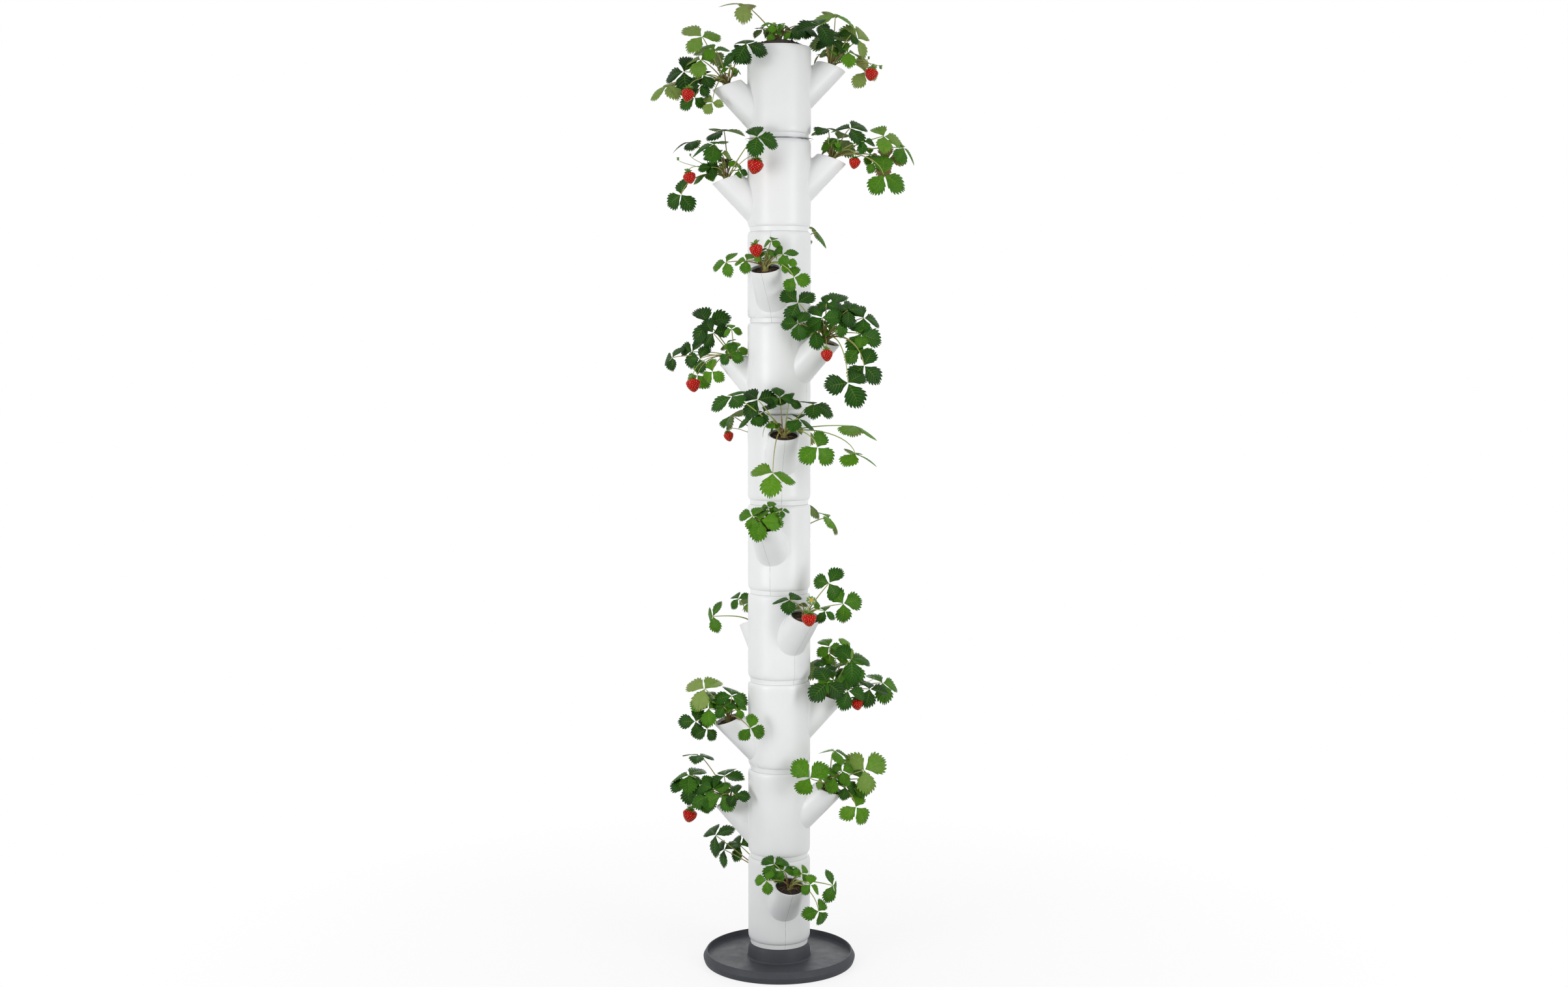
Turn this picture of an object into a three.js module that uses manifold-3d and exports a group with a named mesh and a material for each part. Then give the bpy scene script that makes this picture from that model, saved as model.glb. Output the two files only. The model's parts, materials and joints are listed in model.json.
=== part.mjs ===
// Vertical planter tower: ten hollow tiers stacked on a round saucer and planted with strawberries.
// Millimetres, +Z up, origin on the ground at the middle of the saucer. The front faces -Y.
// Each tier plugs into the rim of the one below by a round spigot, so it turns there and lifts off.
import * as THREE from 'three';
import * as BufferGeometryUtils from 'three/addons/utils/BufferGeometryUtils.js';
import Module from 'manifold-3d';

const wasm = await Module();
wasm.setup();

// Fits between pieces
const seatGap = 0.3;
const spigotClearance = 1.2;
const overrun = 6;

// Tier: trunk
const tierCount = 10;
const tierHeight = 200;
const bodyRadius = 70;
const wall = 2.5;
const shoulderInset = 4.5;
const shoulderHeight = 10;
const neckInset = 0.7;
const neckFlare = 0.5;
const neckHeight = 10;
const footHeight = 12;
const spigotDepth = 18;

// Tier: planting spouts, one high and one low on the opposite side
const highMouthHeight = 160;
const lowMouthHeight = 116;
const mouthProjection = 46;
const mouthRadius = 34;
const heelRadius = 37;
const spoutLean = 46;
const mouthTilt = 20;

// Soil
const mouthSoilDrop = 7;
const topSoilRise = 3;

// Stabiliser ring, a slotted flat ring held in a seam
const ringThickness = 1.6;
const ringStandOff = 6;
const ringBandWidth = 3;
const ringSeatWidth = 3.4;
const ringSpokeWidth = 7;
const ringSpokes = 4;

// Saucer
const saucerRadius = 172.5;
const saucerHeight = 26;
const saucerWall = 3;
const saucerFloorTop = 12.5;
const saucerSkirtHeight = 13.5;
const saucerSkirtInset = 4;
const saucerLipInset = 2.5;
const saucerLipWidth = 3.5;
const saucerStepWidth = 5;
const saucerStepHeight = 1.5;
const collarFootFlare = 1.4;
const collarHeight = 31.7;
const collarWall = 3;
const padRadius = 24;
const ribWidth = 3;
const ribCount = 6;
const ribClearance = 1.5;
const drainWidth = 9;
const drainHeight = 5;
const drainCount = 3;
const drainSpread = 55;

// Strawberry plants
const foliageSpread = 100;
const leafReach = 46;
const leafCrown = 5;
const leafThickness = 1.8;
const stalkRadius = 1.3;
const stalkLift = 26;
const crownRadius = 9;
const crownHeight = 9;
const berryRadius = 15;
const berryLength = 33;
const flowerRadius = 14;
const flowerDepth = 5;

// Facets
const trunkSides = 18;
const spoutSides = 12;
const saucerSides = 28;
const soilSides = 9;
const stalkSides = 3;
const stalkSteps = 2;
const crownSides = 5;
const berrySides = 6;

const fullTurn = 2 * Math.PI;
const quarterTurn = fullTurn / 4;
const rimRadius = bodyRadius - shoulderInset;
const rimBore = rimRadius - wall;
const spigotRadius = rimBore - spigotClearance;
const neckRadius = rimRadius - neckInset;
const spigotBore = spigotRadius - wall;
const bodyBore = bodyRadius - wall;
const tierTop = tierHeight - seatGap;
const mouthReach = bodyRadius + mouthProjection;
const collarTop = saucerFloorTop + collarHeight;
const foliageRise = tierHeight / 2;
const drainFoot = saucerFloorTop + seatGap;

// The direction that each tier's high spout faces, as a share of a full turn, from the bottom tier up
const highSpoutTurnShares = [-0.217, -0.039, 0.028, -0.167, -0.297, -0.236, -0.083, 0.208, 0.012, 0.026];
// The tiers whose upper seam holds a stabiliser ring, counted from 1 at the bottom
const ringedTiers = [6, 9];

const tierBase = [];
let seamHeight = collarTop + seatGap;
for (let tier = 1; tier <= tierCount; tier++) {
  tierBase.push(seamHeight);
  seamHeight += tierHeight;
  if (ringedTiers.includes(tier)) seamHeight += ringThickness + seatGap;
}

function radians(degrees) {
  return THREE.MathUtils.degToRad(degrees);
}

// Solids

function solidFromGeometry(geometry) {
  const bare = geometry.clone();
  bare.deleteAttribute('normal');
  bare.deleteAttribute('uv');
  const merged = BufferGeometryUtils.mergeVertices(bare);
  const corners = [];
  for (let i = 0; i < merged.index.count; i += 3) {
    const [a, b, c] = [0, 1, 2].map((k) => merged.index.getX(i + k));
    if (a !== b && b !== c && c !== a) corners.push(a, b, c);
  }
  return new wasm.Manifold(new wasm.Mesh({
    numProp: 3,
    vertProperties: new Float32Array(merged.attributes.position.array),
    triVerts: new Uint32Array(corners),
  }));
}

function geometryFromSolid(solid) {
  const mesh = solid.getMesh();
  const geometry = new THREE.BufferGeometry();
  geometry.setAttribute('position', new THREE.BufferAttribute(mesh.vertProperties, 3));
  geometry.setIndex(new THREE.BufferAttribute(mesh.triVerts, 1));
  const split = geometry.toNonIndexed();
  split.computeVertexNormals();
  return split;
}

function joined(solids) {
  return solids.reduce((whole, solid) => whole.add(solid));
}

// A solid of revolution about Z, from a profile of [radius, height] that starts and ends on the axis
function revolve(profile, sides) {
  const points = profile.map(([radius, height]) => new THREE.Vector2(radius, height));
  return solidFromGeometry(new THREE.LatheGeometry(points, sides).rotateX(quarterTurn));
}

function facets(positions, corners) {
  const geometry = new THREE.BufferGeometry();
  const numbers = positions.flatMap((point) => point.toArray());
  geometry.setAttribute('position', new THREE.Float32BufferAttribute(numbers, 3));
  geometry.setIndex(corners);
  return geometry;
}

// The side walls and the first end of a skin over rings of points, each ring counter-clockwise about
// the way that the loft runs
function openLoft(rings) {
  const count = rings[0].length;
  const corners = [];
  for (let ring = 0; ring < (rings.length - 1) * count; ring += count) {
    for (let j = 0; j < count; j++) {
      const next = (j + 1) % count;
      corners.push(ring + j, ring + next, ring + count + next);
      corners.push(ring + j, ring + count + next, ring + count + j);
    }
  }
  for (let j = 1; j < count - 1; j++) corners.push(0, j + 1, j);
  return corners;
}

function loft(rings) {
  const count = rings[0].length;
  const last = (rings.length - 1) * count;
  const corners = openLoft(rings);
  for (let j = 1; j < count - 1; j++) corners.push(last, last + j, last + j + 1);
  return solidFromGeometry(facets(rings.flat(), corners));
}

// A loft whose last ring opens out into a thin blade. The outline runs the way the ring does, starts
// beside its first point and has a whole number of points to each of its points. The peak lies over it.
function loftToBlade(rings, outline, peak) {
  const count = rings[0].length;
  const last = (rings.length - 1) * count;
  const edge = last + count;
  const top = edge + outline.length;
  const nearest = (j) => last + Math.floor((j * count) / outline.length);
  const corners = openLoft(rings);
  for (let j = 0; j < outline.length; j++) {
    const next = (j + 1) % outline.length;
    corners.push(top, edge + j, edge + next);
    corners.push(edge + next, edge + j, nearest(next));
    if (nearest(j) !== nearest(next)) corners.push(edge + j, nearest(j), nearest(next));
  }
  return solidFromGeometry(facets([...rings.flat(), ...outline, peak], corners));
}

function ringOfPoints(centre, across, over, radius, sides) {
  const points = [];
  for (let j = 0; j < sides; j++) {
    const angle = (fullTurn * j) / sides;
    points.push(centre.clone()
      .addScaledVector(across, radius * Math.cos(angle))
      .addScaledVector(over, radius * Math.sin(angle)));
  }
  return points;
}

// Tier shell

// A leaning tube from inside the trunk to mouthDrop under its mouth, inset from its outer face. Its
// sections are round and parallel to the mouth, and widen from there to the heel at the trunk's skin.
function spoutTube(mouthHeight, inset, mouthDrop, sides) {
  const lean = radians(spoutLean);
  const tilt = radians(mouthTilt);
  const across = new THREE.Vector3(Math.cos(tilt), 0, -Math.sin(tilt));
  const over = new THREE.Vector3(0, 1, 0);
  const widening = (heelRadius - mouthRadius) / mouthProjection;
  const skinInset = inset / Math.cos(lean - tilt);
  const section = (reach) => {
    const back = mouthReach - reach;
    const centre = new THREE.Vector3(reach, 0, mouthHeight - back / Math.tan(lean));
    return ringOfPoints(centre, across, over, mouthRadius + widening * back - skinInset, sides);
  };
  const throatReach = bodyRadius / 4;
  const endReach = mouthReach - (mouthDrop * Math.sin(lean)) / Math.cos(lean - tilt);
  return loft([section(throatReach), section(endReach)]);
}

// Both spouts, as far down as the ledge that the tier stands on
function spoutPair(inset, mouthDrop, sides) {
  const high = spoutTube(highMouthHeight, inset, mouthDrop, sides);
  const low = spoutTube(lowMouthHeight, inset, mouthDrop, sides).rotate([0, 0, 180]);
  const span = 2 * (mouthReach + heelRadius);
  const aboveLedge = new THREE.BoxGeometry(span, span, span + span);
  return high.add(low).intersect(solidFromGeometry(aboveLedge.translate(0, 0, inset + span)));
}

function tierShell() {
  const outside = revolve([
    [0, -spigotDepth],
    [spigotRadius, -spigotDepth],
    [spigotRadius, 0],
    [neckRadius, 0],
    [neckRadius + neckFlare, neckHeight],
    [bodyRadius, neckHeight + footHeight],
    [bodyRadius, tierTop - shoulderHeight],
    [rimRadius, tierTop],
    [0, tierTop],
  ], trunkSides);
  const inside = revolve([
    [0, -spigotDepth - overrun],
    [spigotBore, -spigotDepth - overrun],
    [spigotBore, neckHeight / 2],
    [bodyBore, neckHeight + footHeight + wall],
    [bodyBore, tierTop - shoulderHeight - wall],
    [rimBore, tierTop],
    [rimBore, tierTop + overrun],
    [0, tierTop + overrun],
  ], trunkSides);
  const shell = outside.add(spoutPair(0, 0, spoutSides));
  return shell.subtract(inside).subtract(spoutPair(wall, -overrun, spoutSides));
}

// Soil: it fills the shell and stands a little under each mouth

function soilCore(isLowest, isHighest) {
  const bottom = isLowest ? -(collarHeight - seatGap - seatGap) : -spigotDepth;
  const top = isHighest ? tierTop + topSoilRise : tierTop - spigotDepth - seatGap;
  const mouthRim = rimBore - spigotClearance;
  const crownOfSoil = isHighest
    ? [[mouthRim, tierTop - shoulderHeight - wall], [mouthRim, tierTop - wall], [mouthRim / 2, top]]
    : [[bodyBore - seatGap - spigotClearance, top]];
  const core = revolve([
    [0, bottom],
    [spigotBore - spigotClearance, bottom],
    [spigotBore - spigotClearance, neckHeight / 2],
    [bodyBore - seatGap - spigotClearance, neckHeight + footHeight + wall],
    ...crownOfSoil,
    [0, top],
  ], soilSides);
  return core.add(spoutPair(wall + seatGap, mouthSoilDrop, spoutSides / 2));
}

// Stabiliser ring: a flat seat, spokes and a narrow band, cut from one sheet

function stabiliserRing() {
  const seatInner = rimBore;
  const seatOuter = seatInner + ringSeatWidth;
  const bandOuter = bodyRadius + ringStandOff;
  const disc = (radius, reach) => revolve([
    [0, -reach], [radius, -reach], [radius, ringThickness + reach], [0, ringThickness + reach],
  ], trunkSides);
  const seat = disc(seatOuter, 0).subtract(disc(seatInner, overrun));
  const band = disc(bandOuter, 0).subtract(disc(bandOuter - ringBandWidth, overrun));
  const spokes = [];
  for (let spoke = 0; spoke < ringSpokes; spoke++) {
    const length = bandOuter - seatInner - ringBandWidth;
    const bar = new THREE.BoxGeometry(length, ringSpokeWidth, ringThickness);
    bar.translate(seatInner + ringBandWidth / 2 + length / 2, 0, ringThickness / 2);
    spokes.push(solidFromGeometry(bar.rotateZ((fullTurn * (spoke + 1 / 2)) / ringSpokes)));
  }
  return joined([seat, band, ...spokes]);
}

// Saucer: a tray with a raised collar that takes the lowest tier, hollow and ribbed underneath

function saucer() {
  const rimOuter = saucerRadius - saucerLipInset;
  const rimInner = rimOuter - saucerLipWidth;
  const skirtFoot = saucerRadius - saucerSkirtInset;
  const collarRadius = bodyRadius + collarFootFlare;
  const collarShoulder = collarTop - shoulderHeight;
  const underside = saucerFloorTop - saucerWall;
  const body = revolve([
    [0, 0],
    [skirtFoot, 0],
    [saucerRadius - saucerLipInset / 2, saucerFloorTop / 2],
    [saucerRadius, saucerSkirtHeight],
    [rimOuter, saucerHeight - saucerStepHeight],
    [rimOuter - saucerStepHeight, saucerHeight],
    [rimInner, saucerHeight],
    [rimInner - saucerLipWidth / 2, saucerFloorTop + saucerStepHeight],
    [rimInner - saucerStepWidth, saucerFloorTop + saucerStepHeight],
    [rimInner - saucerStepWidth - saucerStepHeight, saucerFloorTop],
    [collarRadius, saucerFloorTop],
    [bodyRadius - shoulderInset / 4, collarShoulder],
    [rimRadius, collarTop],
    [rimBore, collarTop],
    [rimBore, collarShoulder],
    [collarRadius - collarWall, saucerFloorTop],
    [0, saucerFloorTop],
  ], saucerSides);
  const hollow = revolve([
    [0, -overrun],
    [skirtFoot - saucerWall, -overrun],
    [skirtFoot - saucerWall, underside],
    [0, underside],
  ], saucerSides);
  const pad = revolve([[0, 0], [padRadius, 0], [padRadius, underside], [0, underside]], trunkSides);
  const ribs = [];
  const ribStart = padRadius - ribWidth;
  const ribEnd = skirtFoot - saucerWall + ribWidth / 2;
  for (let rib = 0; rib < ribCount; rib++) {
    const bar = new THREE.BoxGeometry(ribEnd - ribStart, ribWidth, underside - ribClearance);
    bar.translate((ribEnd + ribStart) / 2, 0, (underside + ribClearance) / 2);
    ribs.push(solidFromGeometry(bar.rotateZ((fullTurn * (rib + 1 / 2)) / ribCount)));
  }
  const drains = [];
  for (let drain = 0; drain < drainCount; drain++) {
    const slot = new THREE.BoxGeometry(collarWall + overrun, drainWidth, drainHeight);
    slot.translate(collarRadius - collarWall / 2, 0, drainFoot + drainHeight / 2);
    const turn = radians(90 + drainSpread * (drain - (drainCount - 1) / 2));
    drains.push(solidFromGeometry(slot.rotateZ(turn)));
  }
  return body.subtract(hollow).add(joined([pad, ...ribs])).subtract(joined(drains));
}

// Strawberry plants

// A three-part leaf seen from above: [turn from its tip in quarter turns, reach] round one leaflet
const leafletShares = [[-0.28, 0.9], [0.28, 0.9], [0.65, 0.28]];
const leafletTurnShares = [-1.3, 0, 1.3];
// A berry's [radius, distance down its length]
const berryShares = [[0.4, 0], [1, 0.22], [0.72, 0.66], [0.2, 1]];

// Each leaf is [out, side, up, size, facing, tilt] from the mouth's middle. Out leads away from the
// tower and side goes counter-clockwise round it, in shares of the foliage's spread and rise. Facing is
// the way that a tilted leaf looks, in quarter turns from out to side, and tilt goes from 0, level, to 1,
// upright. Berries and flowers are [out, side, up].
const plantShares = {
  top: {
    leaves: [[-0.81, -0.1, 0.76, 1, -1, 0.3], [-0.2, -0.22, 0.44, 0.55, -1, 0.4],
      [0.42, -0.22, 0.42, 0.9, -1, 0.3], [0.18, 0.34, 0.5, 0.8, 1, 0.4],
      [-0.34, 0.45, 0.55, 0.9, 1, 0.4]],
    berries: [],
  },
  tier_10_high: {
    leaves: [[0.05, -0.2, 1.08, 1.05, -1, 0.35], [-0.3, -0.9, 0.75, 0.95, -0.9, 0.4],
      [0.58, -0.1, 0.6, 1, -0.8, 0.7], [0.8, -0.1, -0.12, 0.7, -0.6, 0.9],
      [0.1, 0.65, 0.7, 1, 0.9, 0.4]],
    berries: [[0.94, -0.36, -0.22]],
  },
  tier_10_low: {
    leaves: [[0.56, 0.15, 1, 1, 1, 0.6], [0.95, 0.05, 0.26, 1, 0.7, 0.5],
      [1.4, 0, -0.12, 0.9, 0.3, 0.35], [0.78, -0.1, -0.24, 0.7, 0.5, 0.8],
      [-0.3, 0.95, 0.75, 1, 0.9, 0.4], [0.2, -0.65, 0.8, 0.9, -1, 0.4]],
    berries: [[0.88, 0.42, -0.3]],
  },
  tier_09_high: {
    leaves: [[0.4, -0.15, 0.66, 1.05, -1, 0.35], [1.15, -0.1, 0.5, 0.95, -1, 0.5],
      [1.6, 0, 0.26, 1, -0.5, 0.45], [1.24, -0.15, 0, 0.9, -1, 0.9],
      [1.1, -0.45, -0.36, 1.1, -0.9, 0.7], [0.2, 0.6, 0.5, 0.9, 1, 0.4]],
    berries: [[0.58, -0.2, -0.16]],
  },
  tier_09_low: {
    leaves: [[0.06, -0.1, 1.06, 1, 1, 0.15], [0.3, 0.4, 0.7, 1.05, 1, 0.35],
      [0.8, -0.1, 0.8, 0.8, 0.5, 0.1], [-0.6, 1.15, 0.8, 1, 1, 0.5], [1, 0.1, -0.36, 0.9, 0.4, 0.8]],
    berries: [[0.85, 0.3, -0.02], [-0.5, 1.05, 0.2]],
  },
  tier_08_high: {
    leaves: [[0.3, 0.5, 0.6, 1, 1, 0.4], [0.6, -0.4, 0.5, 1, -1, 0.4],
      [0.95, 0.2, 0.2, 0.9, 0.3, 0.5]],
    berries: [],
  },
  tier_08_low: {
    leaves: [[0.15, -0.38, 0.18, 0.6, 0, 0.6], [0.1, -0.85, 0.12, 0.7, -0.3, 0.5],
      [0.1, 0.42, 0.32, 0.7, 0, 0.5], [-0.08, 0.12, 0.59, 0.5, 0, 0.5],
      [0.22, 0.78, -0.2, 0.8, 0, 0.85]],
    berries: [[0.3, -0.14, 0.36]],
  },
  tier_07_high: {
    leaves: [[-0.15, -0.95, 0.82, 0.95, -0.67, 0.6], [0.5, -0.15, 0.7, 1.05, -0.67, 0.5],
      [0.28, -0.65, 0.5, 0.9, -0.67, 0.6], [-0.05, -1.1, 0.38, 0.8, -0.67, 0.7],
      [0.95, -0.15, 0.16, 1, -0.6, 0.6], [1.3, -0.4, -0.66, 1.15, -0.67, 0.85],
      [1, -1.1, -0.86, 1.1, -0.67, 0.85]],
    berries: [[0.36, -0.6, -0.26]],
  },
  tier_07_low: {
    leaves: [[0.7, 0, 0.85, 1.1, 1.2, 0.6], [-0.05, 0.2, 0.7, 0.5, 1.3, 0.6],
      [1.19, -0.1, 0.2, 0.8, 1, 0.6], [1.65, 0.1, 0.06, 0.8, 0.8, 0.6],
      [0.95, 0.12, -0.33, 0.8, 1.2, 0.9], [-0.43, 0.84, 0.2, 0.62, 1.3, 0.7]],
    berries: [[0.8, 0.5, -0.56]],
  },
  tier_06_high: {
    leaves: [[0.12, -0.1, 0.8, 0.7, 0, 0.6], [0.15, -0.58, 0.76, 1, -0.2, 0.5],
      [0.4, -1.15, 0.84, 1, -0.3, 0.3], [0.3, 0.62, 0.66, 1, 0.2, 0.3],
      [0.3, 1.5, 0.19, 1.1, 0.5, 0.3], [0.7, 0.66, -0.24, 0.95, 0.2, 0.7],
      [0.5, 1.55, -0.4, 1, 0.4, 0.3], [0.7, -0.3, -0.8, 1.15, 0, 0.6]],
    berries: [],
  },
  tier_06_low: {
    leaves: [[0.2, 1, 0.75, 0.9, 1, 0.5], [0.5, 0.1, 0.6, 1, 0, 0.4], [0.6, -0.7, 0.4, 1, -0.6, 0.5]],
    berries: [[0.3, 1.1, 0.24]],
  },
  tier_05_high: {
    leaves: [[0.32, -0.14, 0.22, 1.05, 0, 0.6], [-0.08, 0.1, 0.5, 0.5, 0, 0.5],
      [0.1, 0.5, 0.42, 0.5, 0.3, 0.5]],
    berries: [],
  },
  tier_05_low: {
    leaves: [[0.2, 0.65, 0.6, 1, 1, 0.4], [0.7, -0.1, 0.7, 1, -0.5, 0.4],
      [0.3, -0.75, 0.4, 0.9, -1, 0.4]],
    berries: [[0.85, 0.35, -0.1]],
  },
  tier_04_high: {
    leaves: [[-0.08, -0.36, 0.34, 0.8, -0.33, 0.3], [0.3, 0.42, 0.74, 0.95, -0.33, 0.6],
      [0.55, 0.8, 0.3, 1.1, -0.33, 0.7], [0.5, 0.2, 0.16, 0.55, -0.2, 0.4]],
    berries: [[0.58, -0.26, 0]],
    flowers: [[0.25, 0, 0.38]],
  },
  tier_04_low: {
    leaves: [[0.5, 0.8, 0.14, 0.9, 1.3, 0.7], [0.2, 0.3, 0.55, 0.6, 1.3, 0.5],
      [0.8, -0.5, 0.4, 1, -0.5, 0.4]],
    berries: [],
  },
  tier_03_high: {
    leaves: [[0.3, -0.95, 0.98, 1, -1, 0.4], [-0.1, 0.75, 0.66, 1, 1, 0.4],
      [0.5, 0, 0.7, 1.1, -1, 0.3], [-0.25, -1, 0.5, 1, -1, 0.6], [0.3, -0.6, 0.22, 0.9, -1, 0.6],
      [0.85, -0.35, 0.2, 1, -1, 0.4], [1.25, 0.1, 0.25, 1, -0.8, 0.4]],
    berries: [[0.6, -0.3, -0.2]],
  },
  tier_03_low: {
    leaves: [[0.55, 0.1, 0.72, 1.15, 1, 0.5], [-0.05, 0.2, 0.56, 0.9, 1, 0.5],
      [0.76, 0.15, 0, 0.8, 1, 0.8], [-0.35, 0.9, -0.04, 0.75, 1, 0.8],
      [0.3, -0.65, 0.5, 0.9, -1, 0.4]],
    berries: [],
  },
  tier_02_high: {
    leaves: [[-0.25, -1.05, 0.34, 1.2, -0.85, 0.8], [0.16, 0, 0.82, 0.9, -0.85, 0.1],
      [0.8, 0, 0.46, 1.2, -0.85, 0.6], [0.2, -0.35, 0.34, 0.8, -0.85, 0.4],
      [0.78, -0.2, -0.32, 1, -0.6, 0.6]],
    berries: [],
  },
  tier_02_low: {
    leaves: [[0.75, -0.1, 1, 0.9, 1, 0.1], [0.95, 0.05, 0.56, 1.1, 1, 0.3], [0.1, 0.1, 0.6, 1, 1, 0.4],
      [-0.32, 0.86, 0.38, 0.7, 1, 0.6], [0.4, 0.45, 0.2, 0.8, 1, 0.4]],
    berries: [[0.88, 0.15, -0.36]],
  },
  tier_01_high: {
    leaves: [[0.02, -0.35, 0.52, 0.8, 0, 0.4], [0.35, -0.6, 0.26, 0.6, -0.2, 0.6],
      [0.45, 0.36, 0.14, 0.6, 0.2, 0.4], [0.3, 0.9, 0.05, 0.9, 0.4, 0.7],
      [0.66, 0.5, -0.4, 1, 0.2, 0.7]],
    berries: [],
  },
  tier_01_low: {
    leaves: [[0.2, 1.22, 1, 1, 1, 0.5], [0.3, 0.62, 0.7, 0.8, 1, 0.5], [0.7, -0.4, 0.4, 1, 0, 0.4]],
    berries: [[0.9, 0.25, 0.05]],
  },
};

function placeFromShares([out, side, up]) {
  return new THREE.Vector3(out * foliageSpread, side * foliageSpread, up * foliageRise);
}

// The rings of a stalk along a path, turned from one to the next without twist, the last square to end
function stalkRings(path, end) {
  const ways = [];
  for (let step = 0; step <= stalkSteps; step++) ways.push(path.getTangentAt(step / stalkSteps));
  if (end) ways[stalkSteps] = end;
  const across = new THREE.Vector3(1, 0, 0).cross(ways[0]).normalize();
  const rings = [];
  for (let step = 0; step <= stalkSteps; step++) {
    const previous = ways[Math.max(step - 1, 0)];
    across.applyQuaternion(new THREE.Quaternion().setFromUnitVectors(previous, ways[step]));
    const over = ways[step].clone().cross(across);
    rings.push(ringOfPoints(path.getPointAt(step / stalkSteps), across, over, stalkRadius, stalkSides));
  }
  return rings;
}

// A stalk leaves the crown upwards, clears the mouth's rim and arches over to what it holds
function stalkPath(root, tip, arrival) {
  const rise = root.clone().lerp(tip, 1 / 6).setZ(root.z + stalkLift);
  const fall = tip.clone().sub(arrival);
  return new THREE.CubicBezierCurve3(root, rise, fall.setZ(Math.max(fall.z, stalkLift / 3)), tip);
}

// The roots of a plant's stalks, spread evenly round its crown in the order that they leave it
function stalkRoots(middle, shares) {
  const ways = shares.map(([out, side]) => Math.atan2(side, out));
  return ways.map((way) => {
    const rank = ways.filter((other) => other < way).length;
    const angle = ((rank + 1 / 2) / ways.length) * fullTurn - fullTurn / 2;
    const step = new THREE.Vector3(Math.cos(angle), Math.sin(angle), 0);
    return middle.clone().addScaledVector(step, crownRadius / 2);
  });
}

// A leaf on its stalk, which always meets the blade's underside
function leaf(root, [out, side, up, size, facing, tilt]) {
  const place = placeFromShares([out, side, up]);
  const away = place.clone().sub(root);
  const level = Math.sin(tilt * quarterTurn);
  const normal = new THREE.Vector3(Math.cos(facing * quarterTurn) * level,
    Math.sin(facing * quarterTurn) * level, Math.cos(tilt * quarterTurn));
  const tipWay = away.clone().addScaledVector(normal, -away.dot(normal)).normalize();
  const path = stalkPath(root, place, tipWay.clone().multiplyScalar(stalkLift / 2));
  const lastRun = place.clone().sub(path.getPointAt(1 - 1 / stalkSteps));
  if (lastRun.dot(normal) < 0) normal.negate();
  const sideWay = normal.clone().cross(tipWay);
  const rings = stalkRings(path, normal);
  const outline = [];
  for (const leafletTurn of leafletTurnShares) {
    for (const [turn, reach] of leafletShares) {
      const angle = (leafletTurn + turn) * quarterTurn;
      outline.push(place.clone()
        .addScaledVector(tipWay, reach * size * leafReach * Math.cos(angle))
        .addScaledVector(sideWay, reach * size * leafReach * Math.sin(angle))
        .addScaledVector(normal, -leafCrown * reach));
    }
  }
  const first = rings[stalkSteps][0].clone().sub(place).normalize();
  const nearness = outline.map((point) => point.clone().sub(place).normalize().dot(first));
  const start = nearness.indexOf(Math.max(...nearness));
  const turned = [...outline.slice(start), ...outline.slice(0, start)];
  return loftToBlade(rings, turned, place.clone().addScaledVector(normal, leafThickness));
}

function berry(root, share) {
  const across = new THREE.Vector3(1, 0, 0);
  const over = new THREE.Vector3(0, 1, 0);
  const top = placeFromShares(share);
  top.z += berryLength / 2;
  const rings = berryShares.map(([radius, down]) => ringOfPoints(
    top.clone().setZ(top.z - down * berryLength), across, over, radius * berryRadius, berrySides));
  const tip = top.clone().setZ(top.z - stalkRadius);
  const arrival = new THREE.Vector3(0, 0, -stalkLift);
  return loft(stalkRings(stalkPath(root, tip, arrival))).add(loft(rings.reverse()));
}

function flower(root, share) {
  const place = placeFromShares(share);
  const arrival = new THREE.Vector3(0, 0, stalkLift / 2);
  const rings = stalkRings(stalkPath(root, place, arrival));
  const across = rings[stalkSteps][0].clone().sub(place).setZ(0).normalize();
  const over = new THREE.Vector3(0, 0, 1).cross(across);
  const petals = ringOfPoints(place, across, over, flowerRadius, berrySides);
  return loftToBlade(rings, petals, place.clone().setZ(place.z + flowerDepth));
}

// A plant about its mouth's middle, its crown seated on the soil, which lies soilDrop under the mouth
// and slopes down outwards
function strawberryPlant({ leaves, berries, flowers = [] }, soilDrop, slopeDegrees) {
  const slope = radians(slopeDegrees);
  const foot = new THREE.Vector3(0, 0, (seatGap - soilDrop) / Math.cos(slope));
  const middle = foot.clone().setZ(foot.z + crownHeight / 2);
  const head = foot.clone().setZ(foot.z + crownHeight);
  const across = new THREE.Vector3(1, 0, 0);
  const over = new THREE.Vector3(0, 1, 0);
  const footRing = ringOfPoints(foot, across, over, crownRadius, crownSides);
  const headRing = ringOfPoints(head, across, over, (crownRadius * 3) / 4, crownSides);
  for (const point of footRing) point.z -= point.x * Math.tan(slope);
  const roots = stalkRoots(middle, [...leaves, ...berries, ...flowers]);
  return joined([
    loft([footRing, headRing]),
    ...leaves.map((share) => leaf(roots.shift(), share)),
    ...berries.map((share) => berry(roots.shift(), share)),
    ...flowers.map((share) => flower(roots.shift(), share)),
  ]);
}

// Scene graph

function piece(name, solid, color, roughness, metalness = 0) {
  const material = new THREE.MeshStandardMaterial({ color, roughness, metalness });
  const mesh = new THREE.Mesh(geometryFromSolid(solid), material);
  mesh.name = name;
  return mesh;
}

function nodeName(tier) {
  return `tier_${String(tier).padStart(2, '0')}`;
}

const shellColour = 0xe6e8ea;
const soilColour = 0x2a211b;
const leafColour = 0x3f7a26;
const steelColour = 0xb9bcc0;
const saucerColour = 0x3a3b3f;

const tower = new THREE.Group();
tower.add(piece('saucer_base', saucer(), saucerColour, 0.55));

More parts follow.
